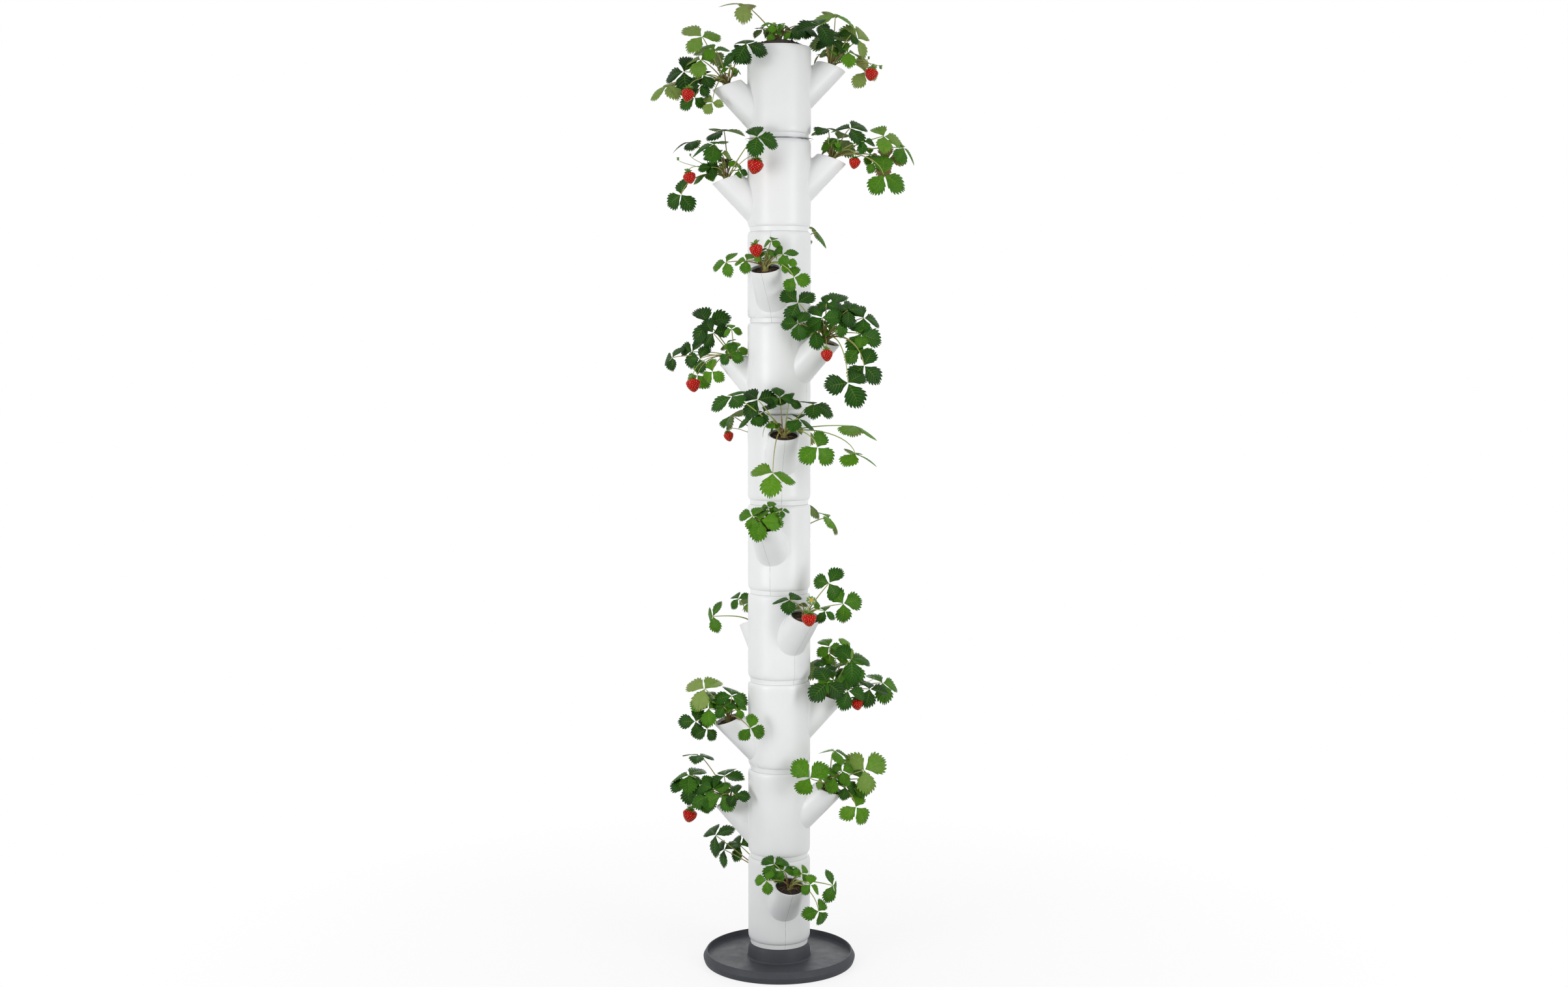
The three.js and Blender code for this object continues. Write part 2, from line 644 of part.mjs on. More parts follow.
const shellSolid = tierShell();
const sides = [['high', highMouthHeight, 0], ['low', lowMouthHeight, fullTurn / 2]];
for (let tier = 1; tier <= tierCount; tier++) {
  const name = nodeName(tier);
  const sown = (tier - 1) % highSpoutTurnShares.length;
  const group = new THREE.Group();
  group.position.z = tierBase[tier - 1];
  group.rotation.z = highSpoutTurnShares[sown] * fullTurn;
  group.add(piece(`${name}_shell`, shellSolid, shellColour, 0.4));
  group.add(piece(`${name}_soil`, soilCore(tier === 1, tier === tierCount), soilColour, 0.95));
  for (const [side, height, sideTurn] of sides) {
    const shares = plantShares[`${nodeName(sown + 1)}_${side}`];
    const plant = piece(`${name}_plant_${side}`,
      strawberryPlant(shares, mouthSoilDrop, mouthTilt), leafColour, 0.6);
    plant.position.set(mouthReach * Math.cos(sideTurn), 0, height);
    plant.rotation.z = sideTurn;
    group.add(plant);
  }
  if (ringedTiers.includes(tier)) {
    const ring = piece(`${name}_stabiliser_ring`, stabiliserRing(), steelColour, 0.25, 1);
    ring.position.z = tierHeight;
    group.add(ring);
  }
  tower.add(group);
}

const topPlant = piece('top_plant', strawberryPlant(plantShares.top, 0, 0), leafColour, 0.6);
topPlant.position.z = tierBase[tierCount - 1] + tierTop + topSoilRise;
tower.add(topPlant);

export default tower;
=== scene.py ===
import json
import math
import random
import bmesh
import bpy
from functools import partial
from mathutils import Matrix, Vector, noise


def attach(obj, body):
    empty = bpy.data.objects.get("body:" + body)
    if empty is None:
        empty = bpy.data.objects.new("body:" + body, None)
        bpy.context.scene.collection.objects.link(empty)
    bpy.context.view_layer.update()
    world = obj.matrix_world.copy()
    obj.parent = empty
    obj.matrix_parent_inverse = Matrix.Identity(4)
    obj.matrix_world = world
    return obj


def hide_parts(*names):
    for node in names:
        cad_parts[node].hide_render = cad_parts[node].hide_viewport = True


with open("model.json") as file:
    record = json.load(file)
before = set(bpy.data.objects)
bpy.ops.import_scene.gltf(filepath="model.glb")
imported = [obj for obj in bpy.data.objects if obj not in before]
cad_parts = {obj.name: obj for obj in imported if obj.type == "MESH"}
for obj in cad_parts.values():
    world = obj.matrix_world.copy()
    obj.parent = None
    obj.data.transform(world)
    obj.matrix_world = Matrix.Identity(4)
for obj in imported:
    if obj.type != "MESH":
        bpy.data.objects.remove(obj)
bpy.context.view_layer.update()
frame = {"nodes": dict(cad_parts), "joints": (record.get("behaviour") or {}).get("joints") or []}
print("frame loaded,", len(frame["nodes"]), "nodes")

mm = 0.001
up = Vector((0, 0, 1))

# The tower as a whole, with each tier's turn as a share of a full one
tower = {
    "tierTurns": [-0.217, -0.039, 0.028, -0.167, -0.297, -0.236, -0.083, 0.208, 0.012, 0.026],
    "ringedTiers": [6, 9],
    "tierHeight": 200,
}

# One tier's trunk, in millimetres above its seam
trunk = {
    "radius": 70,
    "wall": 2.5,
    "rimRadius": 65.5,
    "rimBore": 63,
    "neckRadius": 64.8,
    "neckFlare": 0.5,
    "neckRow": 5,  # height of the row of faces half way up the neck
    "neckHeight": 10,
    "footHeight": 12,
    "shoulderHeight": 10,
    "top": 199.7,
    "spigotRadius": 61.8,
    "spigotBore": 59.3,
    "spigotDepth": 18,
    "columns": 72,
    "rowHeight": 10,
}

# The two spouts, high and low
spout = {
    "mouthReach": 116,
    "mouthHeights": {"high": 160, "low": 116},
    "mouthRadius": 34,
    "heelRadius": 37,
    "lean": math.radians(46),
    "mouthTilt": math.radians(20),
    "fillet": 3.5,
    "filletRings": 5,
    "wallRings": 6,
    "samples": 720,  # lines tried round the wall for each corner of its window
    "windowHalfAngle": math.radians(40),
    "windowBottoms": {"high": 51, "low": 12},
    "windowTops": {"high": 173, "low": 133},
    "lipRound": 0.9,
    "partingHalfWidth": 0.3,
}


# Materials

# Linear colour from 0 to 255 screen values
def shade(red, green, blue):
    parts = [c / 255 for c in (red, green, blue)]
    return [p / 12.92 if p < 0.04045 else ((p + 0.055) / 1.055) ** 2.4 for p in parts] + [1]


def newMaterial(name, **sockets):
    material = bpy.data.materials.new(name)
    material.use_nodes = True
    shader = material.node_tree.nodes["Principled BSDF"]
    for key, value in sockets.items():
        shader.inputs[key.replace("_", " ")].default_value = value
    return material, shader


def node(material, kind, inputs, **settings):
    made = material.node_tree.nodes.new(kind)
    for key, value in settings.items():
        setattr(made, key, value)
    for key, value in inputs.items():
        if isinstance(value, bpy.types.NodeSocket):
            material.node_tree.links.new(value, made.inputs[key])
        else:
            made.inputs[key].default_value = value
    return made


def link(output, shader, name):
    shader.id_data.links.new(output, shader.inputs[name])


def objectPlace(material):
    return node(material, "ShaderNodeTexCoord", {}).outputs["Object"]


def uvParts(material):
    place = node(material, "ShaderNodeUVMap", {}).outputs["UV"]
    return node(material, "ShaderNodeSeparateXYZ", {0: place}).outputs[:2]


def attributeOf(material, name):
    return node(material, "ShaderNodeAttribute", {}, attribute_name=name).outputs["Fac"]


def noiseOf(material, place, scale, detail=4, roughness=0.55):
    return node(material, "ShaderNodeTexNoise",
                {"Vector": place, "Scale": scale, "Detail": detail, "Roughness": roughness}).outputs["Fac"]


def calc(material, operation, first, second=0.0, third=0.0):
    return node(material, "ShaderNodeMath", {0: first, 1: second, 2: third}, operation=operation).outputs[0]


# A value that a noise moves up and down
def varied(material, mottle, amount, value):
    return calc(material, "MULTIPLY_ADD", calc(material, "SUBTRACT", mottle, 0.5), amount, value)


def spread(material, factor, low, high, toLow, toHigh):
    inputs = {"Value": factor, "From Min": low, "From Max": high, "To Min": toLow, "To Max": toHigh}
    return node(material, "ShaderNodeMapRange", inputs).outputs[0]


def ramp(material, factor, stops):
    made = node(material, "ShaderNodeValToRGB", {"Fac": factor})
    elements = made.color_ramp.elements
    while len(elements) < len(stops):
        elements.new(0.5)
    for element, (position, colour) in zip(elements, stops):
        element.position = position
        element.color = shade(*colour)
    return made.outputs["Color"]


def mixed(material, factor, first, second):
    return node(material, "ShaderNodeMix", {0: factor, 6: first, 7: second}, data_type="RGBA").outputs[2]


def raised(material, shader, height, strength, distance):
    bump = node(material, "ShaderNodeBump", {"Height": height, "Strength": strength, "Distance": distance})
    link(bump.outputs[0], shader, "Normal")


def roughBetween(material, shader, mottle, smooth, dull):
    link(spread(material, mottle, 0.3, 0.7, smooth, dull), shader, "Roughness")


# A mottled finish, whose roughness and grain come from noises of their own where they are given
def plainFinish(name, tone, colours, reach=(0.3, 0.7), rough=None, grain=None, **sockets):
    material, shader = newMaterial(name, **sockets)
    place = objectPlace(material)
    link(ramp(material, noiseOf(material, place, *tone), list(zip(reach, colours))), shader, "Base Color")
    if rough:
        roughBetween(material, shader, noiseOf(material, place, *rough[:2]), *rough[2:])
    if grain:
        raised(material, shader, noiseOf(material, place, *grain[:2]), *grain[2:])
    return material


# Noises are (scale, detail), with the roughness from and to, or the grain's strength and depth, after them
finishes = {
    "whiteTierPlastic": {"tone": (9, 3), "colours": [(230, 231, 232), (235, 236, 236)], "IOR": 1.5,
                         "rough": (60, 3, 0.34, 0.44), "grain": (700, 2, 0.06, 0.0004)},
    "partingLine": {"tone": (160, 2), "colours": [(136, 136, 137), (200, 200, 201)], "reach": (0.35, 0.6),
                    "Roughness": 0.5},
    "anthracitePlastic": {"tone": (14, 4), "colours": [(51, 53, 59), (58, 60, 67)], "IOR": 1.5,
                          "rough": (45, 3, 0.6, 0.7), "grain": (900, 2, 0.12, 0.0004)},
    "ringSteel": {"tone": (30, 3), "colours": [(128, 131, 137), (156, 159, 165)], "Metallic": 1.0,
                  "rough": (500, 2, 0.18, 0.3), "grain": (1200, 1, 0.1, 0.0002)},
    "rootFibre": {"tone": (90, 3), "colours": [(98, 66, 42), (176, 138, 96)], "Roughness": 0.8},
    "berrySeed": {"tone": (800, 3), "colours": [(206, 160, 70), (238, 206, 120)], "Roughness": 0.35},
    "calyxGreen": {"tone": (400, 3), "colours": [(70, 116, 40), (120, 158, 66)], "Roughness": 0.5},
    "petalWhite": {"tone": (200, 3), "colours": [(236, 236, 226), (248, 248, 242)], "Roughness": 0.6},
    "pollenYellow": {"tone": (1500, 3), "colours": [(196, 160, 40), (226, 196, 70)], "Roughness": 0.8},
    "stipuleBrown": {"tone": (500, 3), "colours": [(100, 96, 48), (160, 154, 88)], "Roughness": 0.7},
}


def soilMaterial():
    material, shader = newMaterial("moistCompost")
    place = objectPlace(material)
    coarse = noiseOf(material, place, 260, 6, 0.7)
    fine = noiseOf(material, place, 1400, 3)
    stops = [(0.3, (22, 17, 14)), (0.52, (46, 36, 28)), (0.7, (84, 64, 46))]
    link(ramp(material, coarse, stops), shader, "Base Color")
    roughBetween(material, shader, fine, 0.75, 1)
    raised(material, shader, calc(material, "ADD", coarse, fine), 0.7, 0.0012)
    return material


# 1 on a vein and 0 between, from the leaflet's own map
def veinLines(material, widthShare):
    do = partial(calc, material)
    across, along = uvParts(material)
    side = do("ABSOLUTE", do("MULTIPLY_ADD", across, 2.0, -1.0))
    phase = do("FRACT", do("MULTIPLY_ADD", along, leaflet["veins"], 0.5))
    lateral = do("ABSOLUTE", do("SUBTRACT", phase, 0.5))
    thin = do("MULTIPLY", do("SUBTRACT", 1.25, side), widthShare)
    softLateral = do("SUBTRACT", 1.0, do("DIVIDE", lateral, do("MULTIPLY", thin, 2.2)))
    midrib = do("SUBTRACT", 1.0, do("MULTIPLY", side, 14.0))
    strongest = do("MAXIMUM", do("MAXIMUM", softLateral, midrib), 0.0)
    hardLateral = do("MULTIPLY", do("LESS_THAN", lateral, thin), 0.6)
    return do("MINIMUM", do("MAXIMUM", strongest, hardLateral), 1.0)


def leafMaterial(name, stops, veinColour, veinShare, roughness, veinWidthShare):
    material, shader = newMaterial(name, Specular_IOR_Level=0.12)
    do = partial(calc, material)
    place = objectPlace(material)
    mottle = noiseOf(material, place, 130, 4)
    # The tone picks the blade's green; where the planting table gives it, it also carries painted light and
    # shade
    blade = ramp(material, varied(material, mottle, 0.28, attributeOf(material, "tone")), stops)
    veins = veinLines(material, veinWidthShare)
    colour = mixed(material, do("MULTIPLY", veins, veinShare), blade, shade(*veinColour))
    link(colour, shader, "Base Color")
    roughBetween(material, shader, mottle, roughness - 0.05, roughness + 0.07)
    height = do("MULTIPLY_ADD", noiseOf(material, place, 900, 3), 0.35, do("MULTIPLY", veins, -0.8))
    raised(material, shader, height, 0.5, 0.0004)
    return material


# Green at the leaf and redder towards the root
def stalkMaterial():
    material, shader = newMaterial("greenStalk", Roughness=0.5)
    do = partial(calc, material)
    foot = do("SUBTRACT", 1.0, uvParts(material)[1])
    redness = do("MULTIPLY_ADD", foot, 0.3, do("MULTIPLY", attributeOf(material, "tone"), 0.9))
    redness = varied(material, noiseOf(material, objectPlace(material), 300, 3), 0.3, redness)
    stops = [(0.1, (146, 168, 80)), (0.5, (152, 152, 82)), (0.85, (118, 72, 44)), (1, (88, 42, 32))]
    link(ramp(material, redness, stops), shader, "Base Color")
    return material


# Paler at the shoulder, under the sepals
def berryMaterial():
    material, shader = newMaterial("ripeBerry", Coat_Weight=0.05, Coat_Roughness=0.08, Specular_IOR_Level=0.1,
                                   Subsurface_Weight=0.06, Subsurface_Scale=0.004,
                                   Subsurface_Radius=(1, 0.25, 0.15))
    mottle = noiseOf(material, objectPlace(material), 120, 3)
    stops = [(0.0, (206, 84, 56)), (0.1, (184, 16, 18)), (0.4, (176, 4, 14)), (1, (158, 4, 14))]
    link(ramp(material, varied(material, mottle, 0.12, uvParts(material)[1]), stops), shader, "Base Color")
    roughBetween(material, shader, mottle, 0.24, 0.34)
    return material


leaflet = {
    "veins": 8,
    "rowsPerVein": 4,
    "columns": 8,
    "halfWidthShare": 0.42,
    "thicknessShare": 0.009,
    "bellyPower": 1.357,
    "fullness": 0.8,
    "toothedFrom": 0.1,
    "toothedTo": 0.985,
    "toothShares": [0, 0.6, 0.95, 1],
    "toothReachShare": 0.095,
    "toothCentre": 0.38,
    "pillowShare": 0.016,
    "grooveDepth": 0.014,
    "grooveWidth": 0.14,
    "turns": [-1.16, 0, 1.16],
    "turnPlay": 0.12,
    "rollPlay": 0.3,
    "pitches": (-0.28, 0.08),
    "sizes": (0.93, 1.05),
    "sideShare": 0.94,
    "footGap": 0.05,
    "sideFootGap": 0.015,
    "tones": (0.05, 0.62),
    "tonePlay": 0.06,
}

plain = {name: plainFinish(name, **finish) for name, finish in finishes.items()}
soil = soilMaterial()
leafTop = leafMaterial("leafTop", [(0.0, (18, 52, 8)), (0.3, (38, 84, 12)), (0.6, (82, 134, 20)),
                                   (0.85, (134, 150, 84)), (1.0, (130, 106, 72))],
                       veinColour=(130, 166, 66), veinShare=0.35, roughness=0.42, veinWidthShare=0.06)
leafUnder = leafMaterial("leafUnderside", [(0.0, (98, 122, 70)), (0.5, (130, 152, 84)),
                                           (1.0, (150, 142, 92))],
                         veinColour=(170, 186, 124), veinShare=0.6, roughness=0.6, veinWidthShare=0.08)
greenStalk = stalkMaterial()
ripeBerry = berryMaterial()
print("materials made")


# Mesh helpers

def newObject(name, data):
    made = bpy.data.objects.new(name, data)
    bpy.context.scene.collection.objects.link(made)
    return made


def meshFrom(name, bm):
    mesh = bpy.data.meshes.new(name)
    bm.to_mesh(mesh)
    bm.free()
    return mesh


# Writes the bmesh, in metres after matrix, to an object that rides on a body
def finishMesh(name, bm, materials, matrix, body, slot, sharpAngle=40):
    bm.transform(matrix)
    mesh = meshFrom(name, bm)
    for material in materials:
        mesh.materials.append(material)
    for polygon in mesh.polygons:
        polygon.use_smooth = True
    mesh.set_sharp_from_angle(angle=math.radians(sharpAngle))
    piece = newObject(name, mesh)
    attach(piece, body)
    return piece


def copyOf(template):
    bm = bmesh.new()
    bm.from_mesh(template)
    return bm


# A random value up to amount either way
def play(pick, amount):
    return pick.uniform(-amount, amount)


def newPlantMesh():
    bm = bmesh.new()
    bm.loops.layers.uv.new("UVMap")
    bm.verts.layers.float.new("tone")
    return bm


# Adds a copy of the template with every point moved by place, in its own material slots or in the given one
def stamp(bm, template, place, tone=0.0, slot=None):
    firstVert, firstFace = len(bm.verts), len(bm.faces)
    bm.from_mesh(template)
    bm.verts.ensure_lookup_table()
    layer = bm.verts.layers.float["tone"]
    for vert in bm.verts[firstVert:]:
        vert.co = place(vert.co)
        vert[layer] = tone
    if slot is not None:
        bm.faces.ensure_lookup_table()
        for face in bm.faces[firstFace:]:
            face.material_index = slot


def closeUp(bm):
    bmesh.ops.remove_doubles(bm, verts=bm.verts[:], dist=1e-4)
    bmesh.ops.recalc_face_normals(bm, faces=bm.faces[:])


# A bmesh of a profile of (radius, height) turned about Z
def spun(profile, steps, closed=True):
    bm = bmesh.new()
    verts = [bm.verts.new((radius, 0, height)) for radius, height in profile]
    pairs = list(zip(verts, verts[1:])) + ([(verts[-1], verts[0])] if closed else [])
    edges = [bm.edges.new(pair) for pair in pairs]
    bmesh.ops.spin(bm, geom=verts + edges, cent=(0, 0, 0), axis=(0, 0, 1), dvec=(0, 0, 0),
                   angle=math.tau, steps=steps, use_merge=True, use_duplicate=False)
    closeUp(bm)
    return bm


def roundEdges(bm, edges, offset, segments):
    bmesh.ops.bevel(bm, geom=edges, offset=offset, offset_type="OFFSET", segments=segments,
                    profile=0.5, affect="EDGES", clamp_overlap=True, material=-1)


def addBox(bm, size, middle, matrix):
    made = bmesh.ops.create_cube(bm, size=1)["verts"]
    bmesh.ops.transform(bm, verts=made,
                        matrix=matrix @ Matrix.Translation(middle) @ Matrix.Diagonal((*size, 1)))


# The point at a radius and a turn about Z
def polar(radius, turn, height=0.0):
    return Vector((radius * math.cos(turn), radius * math.sin(turn), height))


# Turn about Z between the spokes of a wheel
def betweenSpokes(k, spokes):
    return Matrix.Rotation(math.tau * (k + 0.5) / spokes, 4, "Z")


# Tier shell

def trunkRadius(z):
    t = trunk
    if z <= t["neckHeight"]:
        return t["neckRadius"] + t["neckFlare"] * max(z, 0) / t["neckHeight"]
    neckTop = t["neckRadius"] + t["neckFlare"]
    if z < t["neckHeight"] + t["footHeight"]:
        rise = (t["neckHeight"] + t["footHeight"] - z) / t["footHeight"]
        return neckTop + (t["radius"] - neckTop) * math.sqrt(1 - rise * rise)
    shoulder = t["top"] - t["shoulderHeight"]
    if z > shoulder:
        rise = (z - shoulder) / t["shoulderHeight"]
        return t["rimRadius"] + (t["radius"] - t["rimRadius"]) * math.sqrt(max(0, 1 - rise * rise))
    return t["radius"]


# The heights of the trunk's rows, from the foot's curve up through the shoulder's
def trunkRows():
    t = trunk
    footTop, shoulder = t["neckHeight"] + t["footHeight"], t["top"] - t["shoulderHeight"]
    foot = [footTop - t["footHeight"] * math.cos(math.radians(a)) for a in (0, 22.5, 45, 67.5)]
    rows, z = [], footTop
    while z < shoulder - t["rowHeight"] / 2:
        rows.append(z)
        z += t["rowHeight"]
    top = [shoulder + t["shoulderHeight"] * math.sin(math.radians(a)) for a in (0, 20, 40, 60, 75, 90)]
    return foot + rows + top


# The lip and the inner end of the straight line down a spout's wall at one angle round it
def spoutLine(angle, inset, height):
    s = spout
    across = Vector((math.cos(s["mouthTilt"]), 0, -math.sin(s["mouthTilt"])))
    way = across * math.cos(angle) + Vector((0, 1, 0)) * math.sin(angle)
    skinInset = inset / math.cos(s["lean"] - s["mouthTilt"])
    widening = (s["heelRadius"] - s["mouthRadius"]) / (s["mouthReach"] - trunk["radius"])
    points = []
    for back in (0, s["mouthReach"]):
        centre = Vector((s["mouthReach"] - back, 0, height - back / math.tan(s["lean"])))
        points.append(centre + way * (s["mouthRadius"] + widening * back - skinInset))
    return points


# The point of a spout's wall that lies drop under the mouth
def soilPlace(angle, inset, height, drop):
    lip, low = spoutLine(angle, inset, height)
    slope = Vector((math.sin(spout["mouthTilt"]), 0, math.cos(spout["mouthTilt"])))
    run = (low - lip).normalized()
    return lip + run * (drop / -run.dot(slope))


# Where the line from lip to low crosses the trunk, as a share of its length
def meetsTrunk(lip, low, radius):
    run = low - lip
    a = run.x ** 2 + run.y ** 2
    b = lip.x * run.x + lip.y * run.y
    c = lip.x ** 2 + lip.y ** 2 - radius ** 2
    return (-b - math.sqrt(b * b - a * c)) / a


def unrolled(point, radius):
    return Vector((math.atan2(point.y, point.x) * radius, point.z))


def rolled(flat, radius, inset):
    return polar(trunkRadius(flat.y) - inset, flat.x / radius, flat.y)


def ringEdges(bm, ring):
    return [bm.edges.get((a, b)) for a, b in zip(ring, ring[1:] + ring[:1])]


# Extrudes a closed ring of verts and puts the new ones at places
def growRing(bm, ring, places):
    made = bmesh.ops.extrude_edge_only(bm, edges=ringEdges(bm, ring))["geom"]
    fresh = {v for v in made if isinstance(v, bmesh.types.BMVert)}
    grown = []
    for vert, place in zip(ring, places):
        new = next(e.other_vert(vert) for e in vert.link_edges if e.other_vert(vert) in fresh)
        new.co = place
        grown.append(new)
    return grown


# Cuts the trunk open round a spout, and gives the window's corners in order, with their flat places
def openWindow(bm, sideTurn, inset, lowRow, highRow):
    turn = Matrix.Rotation(-sideTurn, 3, "Z")
    chosen = []
    for face in bm.faces:
        centre = turn @ face.calc_center_median()
        onSkin = abs(math.hypot(centre.x, centre.y) - trunkRadius(centre.z) + inset) < trunk["wall"] / 2
        inWidth = abs(math.atan2(centre.y, centre.x)) < spout["windowHalfAngle"]
        if onSkin and inWidth and lowRow < centre.z < highRow:
            chosen.append(face)
    inside = set(chosen)
    border = {e for f in chosen for e in f.edges if sum(g in inside for g in e.link_faces) == 1}
    verts = {v for e in border for v in e.verts}
    bmesh.ops.delete(bm, geom=chosen, context="FACES")
    flats = {v: unrolled(turn @ v.co, trunk["radius"] - inset) for v in verts}
    heart = Vector((0, (lowRow + highRow) / 2))
    ring = sorted(verts, key=lambda v: math.atan2(flats[v].y - heart.y, flats[v].x))
    return ring, [flats[v] for v in ring], heart


# A spout's wall from a window in the trunk, through a hollow fillet, up to its lip
def growSpout(bm, sideTurn, inset, height, lowRow, highRow):
    radius, samples = trunk["radius"] - inset, spout["samples"]
    ring, flats, heart = openWindow(bm, sideTurn, inset, lowRow, highRow)
    lines = [spoutLine(math.tau * k / samples, inset, height) for k in range(samples)]
    shares = [meetsTrunk(lip, low, radius) for lip, low in lines]
    corners = [lip.lerp(low, share) for (lip, low), share in zip(lines, shares)]
    edges, ends = [], []  # where the fillet starts on the trunk, and its end as a share of the wall's line
    for k, corner in enumerate(corners):
        lip, low = lines[k]
        along = (corners[(k + 1) % samples] - corners[k - 1]).normalized()
        skin = Vector((corner.x, corner.y, 0)).normalized().cross(along)
        if skin.dot(corner - Vector((radius, 0, heart.y))) < 0:
            skin.negate()
        rise = (lip - low).normalized()
        wallWay = rise - along * rise.dot(along)
        leg = spout["fillet"] / math.tan(skin.angle(wallWay) / 2)
        edges.append(unrolled(corner + skin * leg, radius))
        ends.append(shares[k] - leg / wallWay.length / (low - lip).length)
    ways = [math.atan2(e.y - heart.y, e.x) for e in edges]
    picked = []  # the sample that lies the way of each corner of the window
    for flat in flats:
        wanted = math.atan2(flat.y - heart.y, flat.x)
        picked.append(min(range(samples), key=lambda k: abs(math.remainder(ways[k] - wanted, math.tau))))

    # The next ring of the wall, with what lies nearly on the parting line put on it
    def grow(ring, place):
        points = [place(flat, k) for flat, k in zip(flats, picked)]
        for point in points:
            if abs(point.y) < 0.2:
                point.y = 0
        back = Matrix.Rotation(sideTurn, 3, "Z")
        return growRing(bm, ring, [back @ point for point in points])

    def bend(flat, k, share):
        start = rolled(edges[k], radius, inset)
        end = lines[k][0].lerp(lines[k][1], ends[k])
        return start * (1 - share) ** 2 + corners[k] * 2 * share * (1 - share) + end * share ** 2

    ring = grow(ring, lambda flat, k: rolled(flat.lerp(edges[k], 0.5), radius, inset))
    for step in range(spout["filletRings"] + 1):
        ring = grow(ring, partial(bend, share=step / spout["filletRings"]))
    for step in range(1, spout["wallRings"] + 1):
        left = 1 - step / spout["wallRings"]
        ring = grow(ring, lambda flat, k: lines[k][0].lerp(lines[k][1], ends[k] * left))
    return ring


def tierShell():
    t = trunk
    rows = trunkRows()
    outer = [(t["spigotRadius"], -t["spigotDepth"]), (t["spigotRadius"], 0), (t["neckRadius"], 0)]
    outer += [(trunkRadius(z), z) for z in [t["neckRow"]] + rows]
    inner = [(t["spigotBore"], -t["spigotDepth"]), (t["spigotBore"], t["neckRow"])]
    inner += [(trunkRadius(z) - t["wall"], z) for z in rows if z < t["top"] - t["wall"]]
    inner += [(t["rimBore"], t["top"])]
    bm = spun(outer + inner[::-1], t["columns"])
    for sideTurn, side in ((0, "high"), (math.pi, "low")):
        window = spout["mouthHeights"][side], spout["windowBottoms"][side], spout["windowTops"][side]
        outside = growSpout(bm, sideTurn, 0, *window)
        inside = growSpout(bm, sideTurn, t["wall"], *window)
        bmesh.ops.bridge_loops(bm, edges=ringEdges(bm, outside) + ringEdges(bm, inside))
        roundEdges(bm, ringEdges(bm, outside) + ringEdges(bm, inside), spout["lipRound"], 3)
    rim = [e for e in bm.edges if all(abs(v.co.z - t["top"]) < 0.01 and
                                      abs(math.hypot(v.co.x, v.co.y) - t["rimBore"]) < 0.1 for v in e.verts)]
    roundEdges(bm, rim, spout["lipRound"], 3)
    bmesh.ops.recalc_face_normals(bm, faces=bm.faces[:])
    seam = [e for e in bm.edges if all(abs(v.co.y) < 0.01 for v in e.verts)]
    roundEdges(bm, seam, spout["partingHalfWidth"], 1)
    for face in bm.faces:
        face.material_index = int(all(abs(v.co.y) < spout["partingHalfWidth"] * 1.2 for v in face.verts))
    return meshFrom("tierShell", bm)


tiers = [f"tier_{k:02d}" for k in range(1, 11)]
tierBases = {j["child"]: j["pos_m"][2] for j in frame["joints"]}
tierPlaces = {tier: Matrix.Translation((0, 0, tierBases[tier])) @ Matrix.Rotation(turn * math.tau, 4, "Z")
              @ Matrix.Scale(mm, 4) for tier, turn in zip(tiers, tower["tierTurns"])}

shellTemplate = tierShell()
shellFinish = [plain["whiteTierPlastic"], plain["partingLine"]]
for tier in tiers:
    shell = finishMesh(f"{tier}_moulded_shell", copyOf(shellTemplate), shellFinish, tierPlaces[tier], tier,
                       "tier_plastic")
    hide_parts(f"{tier}_shell")
print("tier shells made,", len(shellTemplate.polygons), "faces each")


# Stabiliser rings: a seat in the seam, four spokes and a narrow band

ring = {"thickness": 1.6, "bandOuter": 76, "band": 3, "seatInner": 63, "seat": 3.4, "spoke": 7, "spokes": 4,
        "spokeOverlap": 0.5, "edgeRound": 0.45, "steps": 144}


def stabiliserRing():
    r = ring
    whole = bmesh.new()
    bandInner, seatOuter = r["bandOuter"] - r["band"], r["seatInner"] + r["seat"]
    for low, high in ((r["seatInner"], seatOuter), (bandInner, r["bandOuter"])):
        bm = spun([(low, 0), (high, 0), (high, r["thickness"]), (low, r["thickness"])], r["steps"])
        roundEdges(bm, [e for e in bm.edges if e.calc_face_angle() > 1], r["edgeRound"], 3)
        whole.from_mesh(meshFrom("ringPart", bm))
    for k in range(r["spokes"]):
        addBox(whole, (bandInner - seatOuter + 2 * r["spokeOverlap"], r["spoke"], r["thickness"] * 0.9),
               ((bandInner + seatOuter) / 2, 0, r["thickness"] / 2), betweenSpokes(k, r["spokes"]))
    return meshFrom("stabiliserRing", whole)


ringTemplate = stabiliserRing()
for number in tower["ringedTiers"]:
    tier = tiers[number - 1]
    lifted = tierPlaces[tier] @ Matrix.Translation((0, 0, tower["tierHeight"]))
    bright = finishMesh(f"{tier}_bright_ring", copyOf(ringTemplate), [plain["ringSteel"]], lifted, tier,
                        "ring_steel")
    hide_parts(f"{tier}_stabiliser_ring")
print("rings made")


# Saucer with its raised collar

saucer = {
    "radius": 172.5, "height": 26, "wall": 3, "floorTop": 12.5, "padRadius": 24, "edgeRound": 0.9,
    "steps": 160, "skirtHeight": 13.5, "skirtInset": 4, "skirtFlare": (1.4, 3), "skirtBulge": (0.6, 9),
    "lipInset": 7, "lipWidth": 2.6, "rimDraft": (1.6, 3), "stepInset": 2.4, "stepWidth": 5, "stepHeight": 1.5,
    "collarFoot": 71.4, "collarRoot": 2, "collarShoulder": (69.8, 33), "collarTop": (65.8, 44.2),
    "collarBore": 63, "collarWall": 3,
    "ribs": 6, "rib": 3, "ribClearance": 1.5, "ribOverlap": 0.5,
    "drains": 3, "drainWidth": 9, "drainHeight": 5, "drainClearance": 0.3, "drainSpread": math.radians(55),
}


